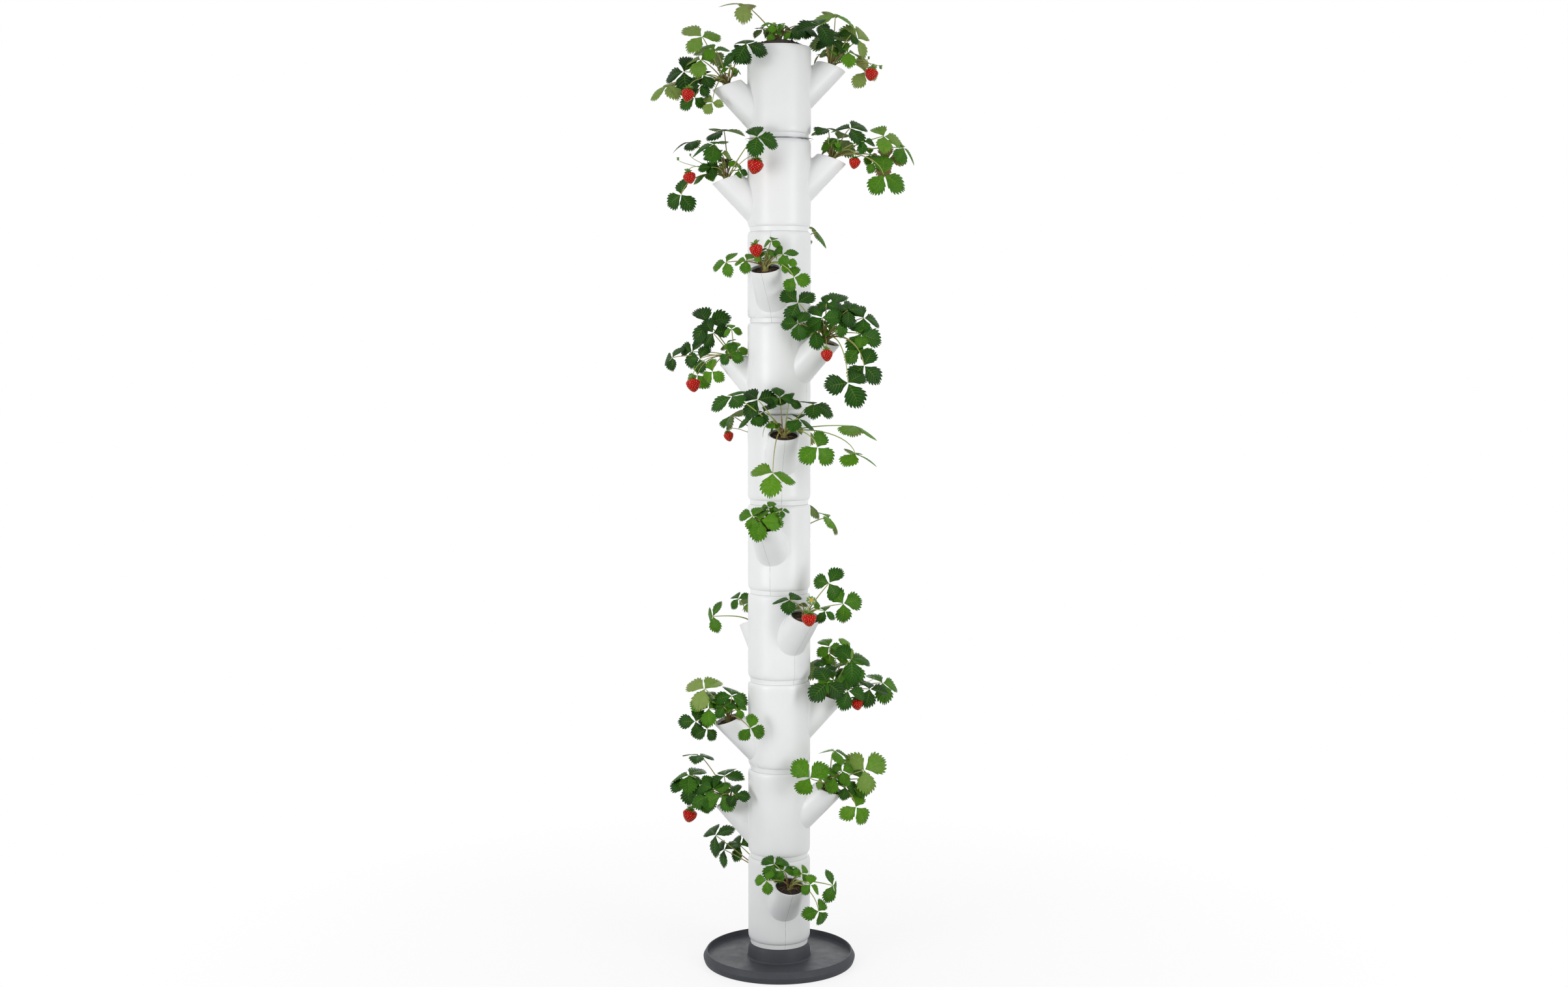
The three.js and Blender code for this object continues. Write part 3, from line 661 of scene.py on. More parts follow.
# From the middle of the underside out, up the skirt and the rim, and back in over the collar
def saucerProfile():
    s = saucer
    rimOuter, skirtFoot = s["radius"] - s["lipInset"], s["radius"] - s["skirtInset"]
    rimInner = rimOuter - s["lipWidth"]
    under, floorTop = s["floorTop"] - s["wall"], s["floorTop"]
    stepTop = floorTop + s["stepHeight"]
    return [(0, 0), (s["padRadius"], 0), (s["padRadius"], under), (skirtFoot - s["wall"], under),
            (skirtFoot - s["wall"], 0), (skirtFoot, 0), (skirtFoot + s["skirtFlare"][0], s["skirtFlare"][1]),
            (s["radius"] - s["skirtBulge"][0], s["skirtBulge"][1]), (s["radius"], s["skirtHeight"]),
            (rimOuter, s["height"]), (rimInner, s["height"]),
            (rimInner - s["rimDraft"][0], floorTop + s["rimDraft"][1]), (rimInner - s["stepInset"], stepTop),
            (rimInner - s["stepWidth"], stepTop), (rimInner - s["stepWidth"] - s["stepHeight"], floorTop),
            (s["collarFoot"] + s["collarRoot"], floorTop), (s["collarFoot"], floorTop + s["collarRoot"]),
            s["collarShoulder"], s["collarTop"], (s["collarBore"], s["collarTop"][1]),
            (s["collarBore"], s["collarShoulder"][1]), (s["collarFoot"] - s["collarWall"], floorTop),
            (0, floorTop)]


# Takes the cutter out of the piece's mesh
def cutFrom(piece, cutter):
    cut = piece.modifiers.new("cut", "BOOLEAN")
    cut.object = cutter
    cut.solver = "EXACT"
    bpy.context.view_layer.update()
    whole = bpy.data.meshes.new_from_object(piece.evaluated_get(bpy.context.evaluated_depsgraph_get()))
    piece.modifiers.remove(cut)
    piece.data = whole
    bpy.data.objects.remove(cutter)


def makeSaucer():
    s = saucer
    bm = spun(saucerProfile(), s["steps"], closed=False)
    for vert in [v for v in bm.verts if not v.link_faces]:
        bm.verts.remove(vert)
    sharp = [e for e in bm.edges if len(e.link_faces) == 2 and e.calc_face_angle() > 0.6
             and all(math.hypot(v.co.x, v.co.y) > 1 for v in e.verts)]
    roundEdges(bm, sharp, s["edgeRound"], 3)
    under = s["floorTop"] - s["wall"]
    start, end = s["padRadius"] - s["rib"], s["radius"] - s["skirtInset"] - s["wall"] + s["rib"] / 2
    for k in range(s["ribs"]):
        addBox(bm, (end - start, s["rib"], under - s["ribClearance"] + s["ribOverlap"]),
               ((start + end) / 2, 0, (under + s["ribClearance"] + s["ribOverlap"]) / 2),
               betweenSpokes(k, s["ribs"]))
    tray = finishMesh("saucer_tray", bm, [plain["anthracitePlastic"]], Matrix.Scale(mm, 4), "base",
                      "saucer_plastic")
    drains = bmesh.new()
    for k in range(s["drains"]):
        turn = Matrix.Rotation(math.pi / 2 + s["drainSpread"] * (k - (s["drains"] - 1) / 2), 4, "Z")
        addBox(drains, (s["collarWall"] * 4, s["drainWidth"], s["drainHeight"]),
               (s["collarFoot"], 0, s["floorTop"] + s["drainClearance"] + s["drainHeight"] / 2),
               Matrix.Scale(mm, 4) @ turn)
    cutFrom(tray, newObject("drainCutter", meshFrom("drainCutter", drains)))
    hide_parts("saucer_base")


makeSaucer()
print("saucer made")


# Templates for the planting

# A thin closed sheet from -1 to 1 both ways with its own map, and the height of its upper side
def thinSheet(columns, rows, thickness):
    bm = bmesh.new()
    bm.loops.layers.uv.new("UVMap")
    bmesh.ops.create_grid(bm, x_segments=columns, y_segments=rows, size=1, calc_uvs=True)
    bmesh.ops.solidify(bm, geom=bm.faces[:], thickness=thickness)
    return bm, max(v.co.z for v in bm.verts)


# A toothed, veined leaflet of unit length, its base at the origin and its tip along +Y
def leafletTemplate(fold, droop, roll, twist):
    c = leaflet
    rows = c["veins"] * c["rowsPerVein"]
    bm, topHeight = thinSheet(c["columns"], rows, c["thicknessShare"])
    for face in bm.faces:
        face.material_index = int(face.normal.z < -0.5)
    for vert in bm.verts:
        side, along = vert.co.x, (vert.co.y + 1) / 2
        depth = vert.co.z - topHeight
        row = round(along * rows) % c["rowsPerVein"]
        edge = abs(side)
        outline = along * (2 - along)
        half = c["halfWidthShare"] * max(0, math.sin(math.pi * outline ** c["bellyPower"])) ** c["fullness"]
        x = side * half
        y = along + (outline - along) * edge ** 1.2
        tooth = c["toothShares"][row] if c["toothedFrom"] < along < c["toothedTo"] else 0
        weight = 1 if edge > 0.99 else 0.35 if edge > 0.7 else 0  # the outer columns carry the teeth
        away = Vector((x, y - c["toothCentre"])).normalized()
        x += away.x * tooth * weight * c["toothReachShare"]
        y += (away.y * 0.7 + 0.5) * tooth * weight * c["toothReachShare"]
        swell = math.sin(math.pi * row / c["rowsPerVein"])  # between two veins
        z = c["pillowShare"] * swell * (1 - edge ** 6) * min(1, edge * 3)
        z -= c["grooveDepth"] * math.exp(-(side / c["grooveWidth"]) ** 2)
        z += fold * abs(x) - droop * y * y - roll * edge ** 3 * half + twist * x * y
        vert.co = Vector((x, y, z + depth))
    closeUp(bm)
    return meshFrom("leaflet", bm)


# A closed unit tube along +Z with its length in the map's second part
def tubeTemplate(sides, steps):
    bm = bmesh.new()
    mapLayer = bm.loops.layers.uv.new("UVMap")
    bmesh.ops.create_cone(bm, cap_ends=True, segments=sides, radius1=1, radius2=1, depth=1)
    long = [e for e in bm.edges if abs(e.verts[0].co.z - e.verts[1].co.z) > 0.5]
    bmesh.ops.subdivide_edges(bm, edges=long, cuts=steps - 1)
    for vert in bm.verts:
        vert.co.z += 0.5
    for face in bm.faces:
        for loop in face.loops:
            loop[mapLayer].uv = (math.atan2(loop.vert.co.y, loop.vert.co.x) / math.tau + 0.5, loop.vert.co.z)
    return meshFrom("tube", bm)


# A pointed sepal, stipule or petal of unit length along +Y
def bladeTemplate(columns, rows, power, thickness, cup, curl):
    bm, topHeight = thinSheet(columns, rows, thickness)
    for vert in bm.verts:
        side, along = vert.co.x, (vert.co.y + 1) / 2
        half = max(0, math.sin(math.pi * along ** power)) ** 0.8
        lift = cup * side * side * half + curl * along * along
        vert.co = Vector((side * half * 0.5, along, vert.co.z - topHeight + lift))
    closeUp(bm)
    return meshFrom("blade", bm)


# Sizes in millimetres, apart from the dimples and the seeds, which are shares of the length
berry = {"radius": 15.5, "length": 31, "rings": 40, "sides": 60, "seeds": 120, "seedTurn": 2.39996,
         "seedSize": (0.013, 0.016, 0.03), "seedSink": 0.012, "dimple": 0.022, "dimpleRadius": 0.0585,
         "lumpiness": 0.012, "sepals": 9, "sepalLength": 13, "sepalWidthShare": 0.62,
         "sepalSizes": (0.8, 1.15), "sepalPitches": (-0.5, 0.55), "sizes": (0.95, 1.05),
         "widths": (0.95, 1.1), "tiltPlay": 0.25}


# The berry's radius at a share of its way down, a rounded shoulder and a blunt tip
def berryRadiusShare(down):
    shoulder = math.sin(min(1, down / 0.3) * math.pi / 2) ** 0.6
    taper = max(0, 1 - max(0, (down - 0.2) / 0.8) ** 2.1) ** 0.7
    return shoulder * taper * berry["radius"] / berry["length"]


# Where the seeds sit, in a spiral from the shoulder to the tip
def seedPlaces(pick):
    places = []
    for k in range(berry["seeds"]):
        down = 0.06 + 0.9 * ((k + 0.5) / berry["seeds"]) ** 1.12
        places.append(polar(berryRadiusShare(down), k * berry["seedTurn"] + play(pick, 0.12), -down))
    return places


# A unit berry hanging from the origin, with seeds in dimples and a calyx
def berryTemplate(seed):
    pick = random.Random(seed)
    b = berry
    places = seedPlaces(pick)
    bm = spun([(berryRadiusShare(d / b["rings"]), -d / b["rings"]) for d in range(b["rings"] + 1)],
              b["sides"], closed=False)
    mapLayer = bm.loops.layers.uv.new("UVMap")
    bm.verts.layers.float.new("tone")
    for vert in bm.verts:
        gap = min((vert.co - p).length for p in places) / b["dimpleRadius"]
        inward = Vector((-vert.co.x, -vert.co.y, 0))
        if inward.length > 1e-5:
            vert.co += inward.normalized() * b["dimple"] * math.exp(-gap * gap * 2.2)
        vert.co += vert.co.normalized() * noise.noise(vert.co * 5 + Vector((seed, 0, 0))) * b["lumpiness"]
    for face in bm.faces:
        for loop in face.loops:
            loop[mapLayer].uv = (0.5, -loop.vert.co.z)
    for place in places:
        outward = Vector((place.x, place.y, 0.15 * (place.z + 0.5))).normalized()
        made = bmesh.ops.create_icosphere(bm, subdivisions=1, radius=1)["verts"]
        turn = outward.to_track_quat("X", "Z").to_matrix().to_4x4()
        sunk = Matrix.Translation(place - outward * b["seedSink"])
        bmesh.ops.transform(bm, verts=made, matrix=sunk @ turn @ Matrix.Diagonal((*b["seedSize"], 1)))
        for face in {f for v in made for f in v.link_faces}:
            face.material_index = 1
    sepal = bladeTemplate(2, 6, 0.8, 0.02, 0.2, 0.25)
    for k in range(b["sepals"]):
        turn = math.tau * (k + play(pick, 0.2)) / b["sepals"]
        length = b["sepalLength"] / b["length"] * pick.uniform(*b["sepalSizes"])
        pitch = Matrix.Rotation(pick.uniform(*b["sepalPitches"]), 4, "X")
        size = Matrix.Diagonal((length * b["sepalWidthShare"], length, length, 1))
        matrix = Matrix.Rotation(turn, 4, "Z") @ pitch @ size
        stamp(bm, sepal, lambda co: matrix @ co, slot=2)
    return meshFrom("berry", bm)


# A closed unit disc, its top at 0 and its bottom at -1
def puckTemplate(rings=11, steps=48):
    profile = [(k / rings, 0) for k in range(rings + 1)] + [(1, -1), (0, -1)]
    return meshFrom("puck", spun(profile, steps, closed=False))


def clodTemplate(seed):
    bm = bmesh.new()
    bmesh.ops.create_icosphere(bm, subdivisions=2, radius=1)
    for vert in bm.verts:
        vert.co *= 1 + 0.45 * noise.noise(vert.co * 1.3 + Vector((seed * 3.1, 0, 0)))
    return meshFrom("clod", bm)


# Each leaflet shape is (fold, droop, roll, twist)
leafletShapes = [(0.1, 0.1, 0.1, 0.0), (0.22, 0.16, 0.12, 0.1), (0.04, 0.24, 0.16, -0.1),
                 (0.3, 0.05, 0.05, 0.12), (0.14, 0.32, 0.2, 0.0), (-0.06, 0.14, 0.14, 0.15)]
leaflets = [leafletTemplate(*shape) for shape in leafletShapes]
stalkTube = tubeTemplate(7, 14)
rootTube = tubeTemplate(5, 10)
sepalBlade = bladeTemplate(2, 6, 0.8, 0.03, 0.2, 0.2)
petalBlade = bladeTemplate(6, 8, 1.5, 0.02, 0.1, -0.12)
berries = [berryTemplate(seed) for seed in (1, 2)]
puck = puckTemplate()
clods = [clodTemplate(k) for k in range(3)]
print("planting templates made")


# Planting

# Places are (out, side, up) from the middle of the mouth, in tenths of a metre. After them a leaf has a size,
# the way it faces and its tilt in quarter turns, and a tone where it isn't drawn at random. A given tone is
# partly the leaf's own green and partly painted light: fresher green for leaves that stand in the light,
# darker green for leaves in shade. A bud has a size, and so has a berry where it isn't the usual one. "young"
# is a number of young leaves that isn't the usual.
plants = {
    "top": {
        "leaves": [(-0.81, -0.1, 0.86, 1, -1, 0.3, 0.8), (-0.2, -0.22, 0.44, 0.45, -1, 0.4, 0.6),
            (0.42, -0.22, 0.42, 0.9, -1, 0.3, 0.1), (0.18, 0.34, 0.44, 0.6, 1, 0.2, 0.1),
            (-0.3, 0.4, 0.42, 0.55, 1, 0.2, 0.15), (0.22, -0.3, 0.26, 0.45, -1, 0.4, 0.5),
            (0.62, -0.1, 0.36, 0.7, -0.8, 0.4, 0.08)],
        "buds": [(-0.14, -0.2, 0.42, 1), (-0.08, -0.25, 0.34, 0.8), (-0.2, -0.2, 0.36, 0.7)]},
    "tier_10_high": {
        "leaves": [(0.05, -0.2, 1.08, 1.05, -1, 0.35, 0.7), (-0.42, -0.85, 0.76, 0.95, -0.9, 0.45, 0.08),
            (0.58, -0.1, 0.6, 1, -0.8, 0.75, 0.82), (0.74, -0.1, -0.1, 0.8, -0.8, 0.95, 0.84),
            (0.1, 0.65, 0.7, 1, 0.9, 0.4, 0.1), (-0.03, -0.3, 0.52, 0.8, -1, 0.5, 0.1),
            (0.33, -0.25, 0.3, 0.8, -0.8, 0.5, 0.66), (-0.1, -0.5, 0.64, 0.7, -0.9, 0.5, 0.08),
            (0.38, -0.3, 0.66, 0.55, -0.8, 0.5, 0.12)],
        "berries": [(0.86, -0.34, -0.22, 0.95)],
        "buds": [(1.1, -0.1, 0, 1), (0.83, -0.1, 0.2, 0.7)]},
    "tier_10_low": {
        "leaves": [(0.56, 0.15, 1, 1, 1, 0.6, 0.72), (0.95, 0.05, 0.26, 1, 0.8, 0.7, 0.06),
            (1.3, 0, -0.04, 0.9, 0.4, 0.35, 0.78), (0.72, 0.1, -0.3, 0.7, 0.8, 0.8, 0.3),
            (-0.3, 0.95, 0.75, 1, 0.9, 0.5, 0.05), (0.2, -0.65, 0.8, 0.9, -1, 0.4, 0.2),
            (0.58, 0.1, 0.52, 0.9, 0.8, 0.6, 0.68), (0.55, 0.25, 0.16, 0.8, 0.8, 0.5, 0.1),
            (-0.08, 0.9, 0.6, 0.8, 0.9, 0.5, 0.1), (0.62, 0.35, -0.06, 0.6, 0.9, 0.7, 0.12),
            (0.36, 0.3, -0.42, 0.55, 0.8, 0.9, 0.8), (0.3, 0.3, 0.72, 0.7, 0.9, 0.5, 0.5)],
        "berries": [(0.88, 0.42, -0.3)]},
    "tier_09_high": {
        "leaves": [(0.4, -0.15, 0.66, 1.05, -1, 0.4, 0.1), (1.15, -0.1, 0.5, 0.95, -1, 0.5, 0.66),
            (1.6, 0, 0.26, 1, -0.6, 0.5, 0.45), (1.24, -0.15, 0, 0.9, -1, 0.9, 0.96),
            (1.1, -0.45, -0.36, 1.1, -0.9, 0.9, 0.5), (0.2, 0.6, 0.5, 0.9, 1, 0.4, 0.2),
            (-0.12, -0.25, 0.64, 0.8, -1, 0.1, 0.1), (0.85, -0.1, 0.1, 0.5, -0.8, 0.6, 0.5),
            (0.68, -0.3, 0.36, 0.6, -0.8, 0.5, 0.3), (0.9, -0.3, -0.1, 0.5, -0.9, 0.8, 0.4)],
        "berries": [(0.5, -0.3, -0.14, 0.82)],
        "buds": [(-0.1, -0.3, 0.4, 0.8), (0.1, -0.35, 0.35, 0.6)]},
    "tier_09_low": {
        "leaves": [(0.06, -0.1, 1.06, 1, 1, 0.15, 0.1), (0.3, 0.4, 0.7, 1.05, 1, 0.35, 0.3),
            (0.8, -0.1, 0.8, 0.8, 0.5, 0.1, 0.1), (-0.6, 1.15, 0.8, 1, 1, 0.6, 0.25),
            (1, 0.1, -0.36, 0.9, 0.7, 0.9, 0.15), (0.2, 0.1, 0.36, 0.8, 1, 0.5, 0.15),
            (0.45, 0.1, 0.08, 0.6, 0.6, 0.4, 0.4), (0.12, 0.2, 0.54, 0.6, 1, 0.5, 0.7),
            (0.35, 0.3, 0.22, 0.55, 1, 0.5, 0.2), (-0.26, 0.25, 0.16, 0.4, 0.8, 0.5, 0.3)],
        "berries": [(0.85, 0.3, -0.05, 0.85), (-0.6, 1.05, 0.18, 1.05)],
        "buds": [(1.07, 0.1, 0.41, 0.8), (0.8, 0.1, 0.5, 0.6)]},
    "tier_08_high": {
        "leaves": [(0.3, 0.5, 0.6, 1, 1, 0.4), (0.6, -0.4, 0.5, 1, -1, 0.4),
            (0.95, 0.2, 0.2, 0.9, 0.3, 0.5)]},
    "tier_08_low": {
        "leaves": [(0.15, -0.38, 0.18, 0.6, 0, 0.6, 0.5), (0.1, -0.85, 0.14, 0.7, -0.2, 0.7, 0.45),
            (0.1, 0.42, 0.3, 0.65, 0, 0.6, 0.4), (-0.08, 0.12, 0.59, 0.45, 0, 0.5, 0.5),
            (0.22, 0.7, -0.2, 0.68, 0, 0.95, 0.5), (0.1, 0.5, 0.12, 0.45, 0, 0.7, 0.5)],
        "berries": [(0.3, -0.14, 0.36)],
        "buds": [(0.2, 0.06, 0.3, 0.9), (0.24, 0.16, 0.24, 0.7)]},
    "tier_07_high": {
        "leaves": [(-0.15, -0.95, 0.82, 0.95, -0.67, 0.7, 0.15), (0.5, -0.15, 0.7, 1.05, -0.67, 0.5, 0.12),
            (0.28, -0.65, 0.5, 0.9, -0.67, 0.7, 0.25), (-0.05, -1.1, 0.38, 0.8, -0.67, 0.8, 0.2),
            (0.95, -0.15, 0.16, 1, -0.6, 0.7, 0.3), (1.2, -0.45, -0.52, 0.95, -0.67, 0.9, 0.1),
            (1.08, -0.96, -0.88, 1.1, -0.67, 0.9, 0.12), (0.2, 0, 0.78, 1, -0.67, 0.4, 0.2),
            (0.9, 0.1, 0.5, 0.9, -0.5, 0.6, 0.2), (0.05, -0.55, 0.22, 0.8, -0.67, 0.7, 0.3),
            (1, -0.35, -0.18, 0.8, -0.67, 0.8, 0.4), (0.6, -0.4, 0.42, 0.7, -0.67, 0.7, 0.3),
            (0.72, -0.3, 0.66, 0.7, -0.67, 0.6, 0.12), (0.3, -0.5, 0.8, 0.6, -0.67, 0.6, 0.2)],
        "berries": [(0.36, -0.6, -0.34, 0.88)],
        "buds": [(-0.2, -0.9, 0.14, 0.8), (0.55, -0.5, 0.2, 0.8)]},
    "tier_07_low": {
        "leaves": [(0.7, 0, 0.85, 1.1, 1.2, 0.6, 0.15), (-0.05, 0.2, 0.7, 0.5, 1.3, 0.6, 0.55),
            (1.19, -0.1, 0.2, 0.8, 1, 0.7, 0.12), (1.6, 0.1, 0.06, 0.75, 0.9, 0.7, 0.1),
            (0.9, 0.14, -0.33, 0.8, 1, 0.9, 0.5), (-0.38, 0.84, 0.16, 0.62, 1.1, 0.8, 0.3),
            (0.5, 0.1, 0.62, 0.8, 1.2, 0.9, 0.1), (0.86, 0.1, 0.04, 0.75, 1, 0.8, 0.15),
            (0.34, 0.4, -0.24, 0.7, 1, 0.9, 0.6)],
        "berries": [(0.8, 0.5, -0.56)]},
    "tier_06_high": {
        "leaves": [(0.12, -0.1, 0.8, 0.7, 0, 0.6, 0.15), (0.15, -0.58, 0.76, 1, -0.2, 0.6, 0.08),
            (0.4, -1.15, 0.84, 1, -0.3, 0.3, 0.3), (0.3, 0.62, 0.66, 1, 0.2, 0.3, 0.15),
            (0.3, 1.5, 0.19, 1.1, 0.5, 0.1, 0.6), (0.7, 0.66, -0.24, 0.95, 0.2, 0.8, 0.45),
            (0.5, 1.5, -0.4, 1, 0.4, 0.16, 0.55), (0.7, -0.3, -0.78, 1.1, 0, 0.45, 0.6),
            (0.25, 0.3, 0.34, 0.8, 0.1, 0.3, 0.25), (0.1, -0.45, 0.5, 0.8, -0.2, 0.4, 0.12),
            (0.2, -0.7, 0.38, 0.7, -0.3, 0.2, 0.2), (0.12, 0.1, 0.72, 0.6, 0, 0.6, 0.2)]},
    "tier_06_low": {
        "leaves": [(0.2, 1, 0.75, 0.9, 1, 0.5, 0.3), (0.5, 0.1, 0.6, 1, 0, 0.4),
            (0.6, -0.7, 0.4, 1, -0.6, 0.5)],
        "berries": [(0.3, 1.06, 0.22, 0.75)]},
    "tier_05_high": {
        "leaves": [(0.32, 0.02, 0.16, 0.95, 0, 0.65, 0.52), (-0.04, 0.1, 0.4, 0.5, 0, 0.5, 0.45),
            (0.1, 0.45, 0.36, 0.35, 0.3, 0.5, 0.4), (0.3, -0.16, 0.24, 0.7, 0, 0.6, 0.45)]},
    "tier_05_low": {
        "leaves": [(0.2, 0.65, 0.6, 1, 1, 0.4), (0.7, -0.1, 0.7, 1, -0.5, 0.4),
            (0.3, -0.75, 0.4, 0.9, -1, 0.4)],
        "berries": [(0.85, 0.35, -0.1)]},
    "tier_04_high": {
        "young": 2,
        "leaves": [(-0.08, -0.36, 0.38, 0.8, -0.33, 0.4, 0.15), (0.3, 0.42, 0.74, 0.85, -0.33, 0.7, 0.3),
            (0.5, 0.66, 0.3, 0.95, -0.33, 0.8, 0.42), (0.5, 0.2, 0.16, 0.55, -0.2, 0.5, 0.3)],
        "berries": [(0.58, -0.26, 0)],
        "flower": [(0.25, 0, 0.38)]},
    "tier_04_low": {
        "leaves": [(0.5, 0.8, 0.14, 0.8, 1.1, 0.8, 0.4), (0.2, 0.3, 0.55, 0.6, 1.3, 0.5, 0.3),
            (0.8, -0.5, 0.4, 1, -0.5, 0.4)]},
    "tier_03_high": {
        "leaves": [(0.3, -0.9, 0.98, 1, -1, 0.5, 0.25), (-0.1, 0.75, 0.66, 1, 1, 0.4, 0.2),
            (0.5, 0, 0.72, 1, -1, 0.4, 0.45), (-0.25, -1, 0.5, 1, -1, 0.6, 0.1),
            (0.3, -0.6, 0.22, 0.9, -1, 0.7, 0.3), (0.85, -0.35, 0.2, 0.95, -1, 0.5, 0.1),
            (1.25, 0.1, 0.25, 1, -0.8, 0.5, 0.4), (-0.02, -0.5, 0.46, 0.9, -1, 0.6, 0.45),
            (-0.05, -0.2, 1.16, 0.75, -0.9, 0.5, 0.45), (0.3, -0.2, 1.1, 0.7, -0.9, 0.6, 0.7),
            (0.1, -0.2, 0.9, 0.7, -1, 0.5, 0.5), (0.35, -0.3, 0.56, 0.7, -1, 0.6, 0.25),
            (-0.2, -0.4, 0.74, 0.65, -1, 0.5, 0.15)],
        "berries": [(0.5, -0.5, -0.12)],
        "buds": [(0.95, -0.3, 0.44, 0.7)]},
    "tier_03_low": {
        "leaves": [(0.55, 0.1, 0.72, 1.05, 1, 0.5, 0.76), (-0.05, 0.2, 0.56, 0.9, 1, 0.5, 0.3),
            (0.76, 0.15, 0, 0.8, 1, 0.8, 0.12), (-0.35, 0.9, -0.04, 0.75, 1, 0.9, 0.45),
            (0.3, -0.65, 0.5, 0.9, -1, 0.4, 0.2), (0.47, 0.2, 0.3, 0.85, 1, 0.7, 0.5),
            (0.5, 0.15, -0.18, 0.7, 1, 0.7, 0.15), (0.15, 0.3, 0.34, 0.6, 1, 0.6, 0.3),
            (-0.16, 0.3, 0.28, 0.55, 1, 0.6, 0.45)]},
    "tier_02_high": {
        "leaves": [(-0.2, -1.05, 0.46, 1.05, -0.85, 0.9, 0.52), (0.12, 0, 0.86, 0.9, -0.85, 0.1, 0.45),
            (0.8, 0, 0.46, 1.15, -0.85, 0.7, 0.7), (0.2, -0.35, 0.34, 0.8, -0.85, 0.5, 0.5),
            (0.66, -0.2, -0.34, 0.9, -0.7, 0.8, 0.6), (0.72, 0.15, 0.22, 0.9, -0.6, 0.6, 0.4),
            (0.42, -0.2, 0.1, 0.6, -0.7, 0.7, 0.25), (0.36, -0.3, 0.48, 0.65, -0.9, 0.6, 0.45),
            (0.55, -0.1, 0.06, 0.5, -0.9, 0.6, 0.5)]},
    "tier_02_low": {
        "leaves": [(0.75, -0.1, 1, 0.9, 1, 0.1, 0.3), (0.95, 0.05, 0.56, 1.05, 1, 0.3, 0.3),
            (0.1, 0.1, 0.6, 1, 1, 0.4, 0.2), (-0.36, 0.86, 0.38, 0.65, 1, 0.7, 0.1),
            (0.4, 0.45, 0.2, 0.8, 1, 0.5, 0.35), (0.93, 0.1, 0.33, 0.9, 1, 0.6, 0.2),
            (0.05, 0.48, 0.26, 0.9, 1, 0.6, 0.4), (0.58, 0.2, 0.22, 0.9, 1, 0.7, 0.25),
            (0.3, 0.35, 0.36, 0.65, 1, 0.6, 0.3), (0.62, 0.2, 0.4, 0.6, 1, 0.6, 0.25),
            (0.5, 0.3, 0, 0.5, 1, 0.8, 0.35)],
        "berries": [(0.88, 0.15, -0.36)]},
    "tier_01_high": {
        "young": 1,
        "leaves": [(0.02, -0.35, 0.52, 0.8, 0, 0.5, 0.3), (0.35, -0.6, 0.26, 0.6, -0.2, 0.7, 0.5),
            (0.45, 0.36, 0.14, 0.6, 0.2, 0.6, 0.5), (0.3, 0.9, 0.05, 0.78, 0.4, 0.8, 0.4),
            (0.66, 0.5, -0.4, 0.76, 0.2, 0.8, 0.42), (0.08, -0.16, 0.38, 0.65, 0, 0.6, 0.35),
            (0.1, 0.25, 0.3, 0.5, 0.2, 0.6, 0.5)]},
    "tier_01_low": {
        "leaves": [(0.2, 1.22, 1, 1, 1.45, 0.6, 0.15), (0.3, 0.62, 0.7, 0.8, 1.6, 0.6, 0.2),
            (0.7, -0.4, 0.4, 1, 0, 0.4), (0.3, 1, 0.62, 0.9, 1.4, 0.6, 0.25)],
        "berries": [(0.9, 0.1, 0.05)]},
}

# Lengths in millimetres, and the young leaves' in the units of the rows above
plant = {
    "spread": 100,
    "leafReach": 46,
    "leafDroop": 5,
    "stalkLift": 26,
    "stalkRadii": {"leaves": (1.7, 0.9), "berries": (0.95, 0.8), "flower": (0.9, 0.8), "buds": (0.8, 0.6)},
    "rootRadius": 4.05,
    "soilDrop": 6.7,
    "topRise": 7,
    "youngLeaves": 4,
    "youngReach": (0.12, 0.36),
    "youngRise": (0.18, 0.44),
    "youngSize": (0.34, 0.52),
    "youngTilts": (0.3, 0.7),
    "youngTones": (0.35, 0.7),
}

# A spent flower, a bud of the usual size, and the crown that the stalks grow from
flower = {"look": (0.75, -0.25, 0.6), "radius": 14, "petals": 5, "petal": (0.8, 0.6, 1), "petalGap": 0.1,
          "heart": (4, 4, 2.2), "heartRise": 1, "anthers": 22, "anther": 0.55, "antherRing": (2.2, 2.6),
          "antherRise": 3.2, "sepals": 10, "sepal": (7, 12.5, 8), "sepalDrop": 1.2}
bud = {"length": 8, "core": (0.4, 0.4, 0.5), "sepals": 6, "sepal": (0.6, 1.1, 1), "sepalLean": 0.9,
       "sepalDrop": 0.3}
crown = {"height": 9, "rise": 0.3, "heart": (7, 7, 5), "heartDrop": 2, "stipules": 6, "stipuleRing": 5.5,
         "stipuleWidth": 8, "stipuleDepth": 4, "stipuleLengths": (11, 17), "stipuleLeans": (0.15, 0.5)}
spiralTurn = 2.4

plantParts = {
    "leaves": ([leafTop, leafUnder], "leaf"),
    "stalks": ([greenStalk, plain["stipuleBrown"]], "leaf"),
    "berries": ([ripeBerry, plain["berrySeed"], plain["calyxGreen"]], "berry"),
    "flower": ([plain["petalWhite"], plain["pollenYellow"], plain["calyxGreen"]], "petal"),
    "buds": ([plain["calyxGreen"]], "leaf"),
}


def placeOf(row):
    return Vector([c * plant["spread"] for c in row[:3]])


def bezier(points, t):
    a, b, c, d = points
    s = 1 - t
    return a * s ** 3 + b * 3 * s * s * t + c * 3 * s * t * t + d * t ** 3


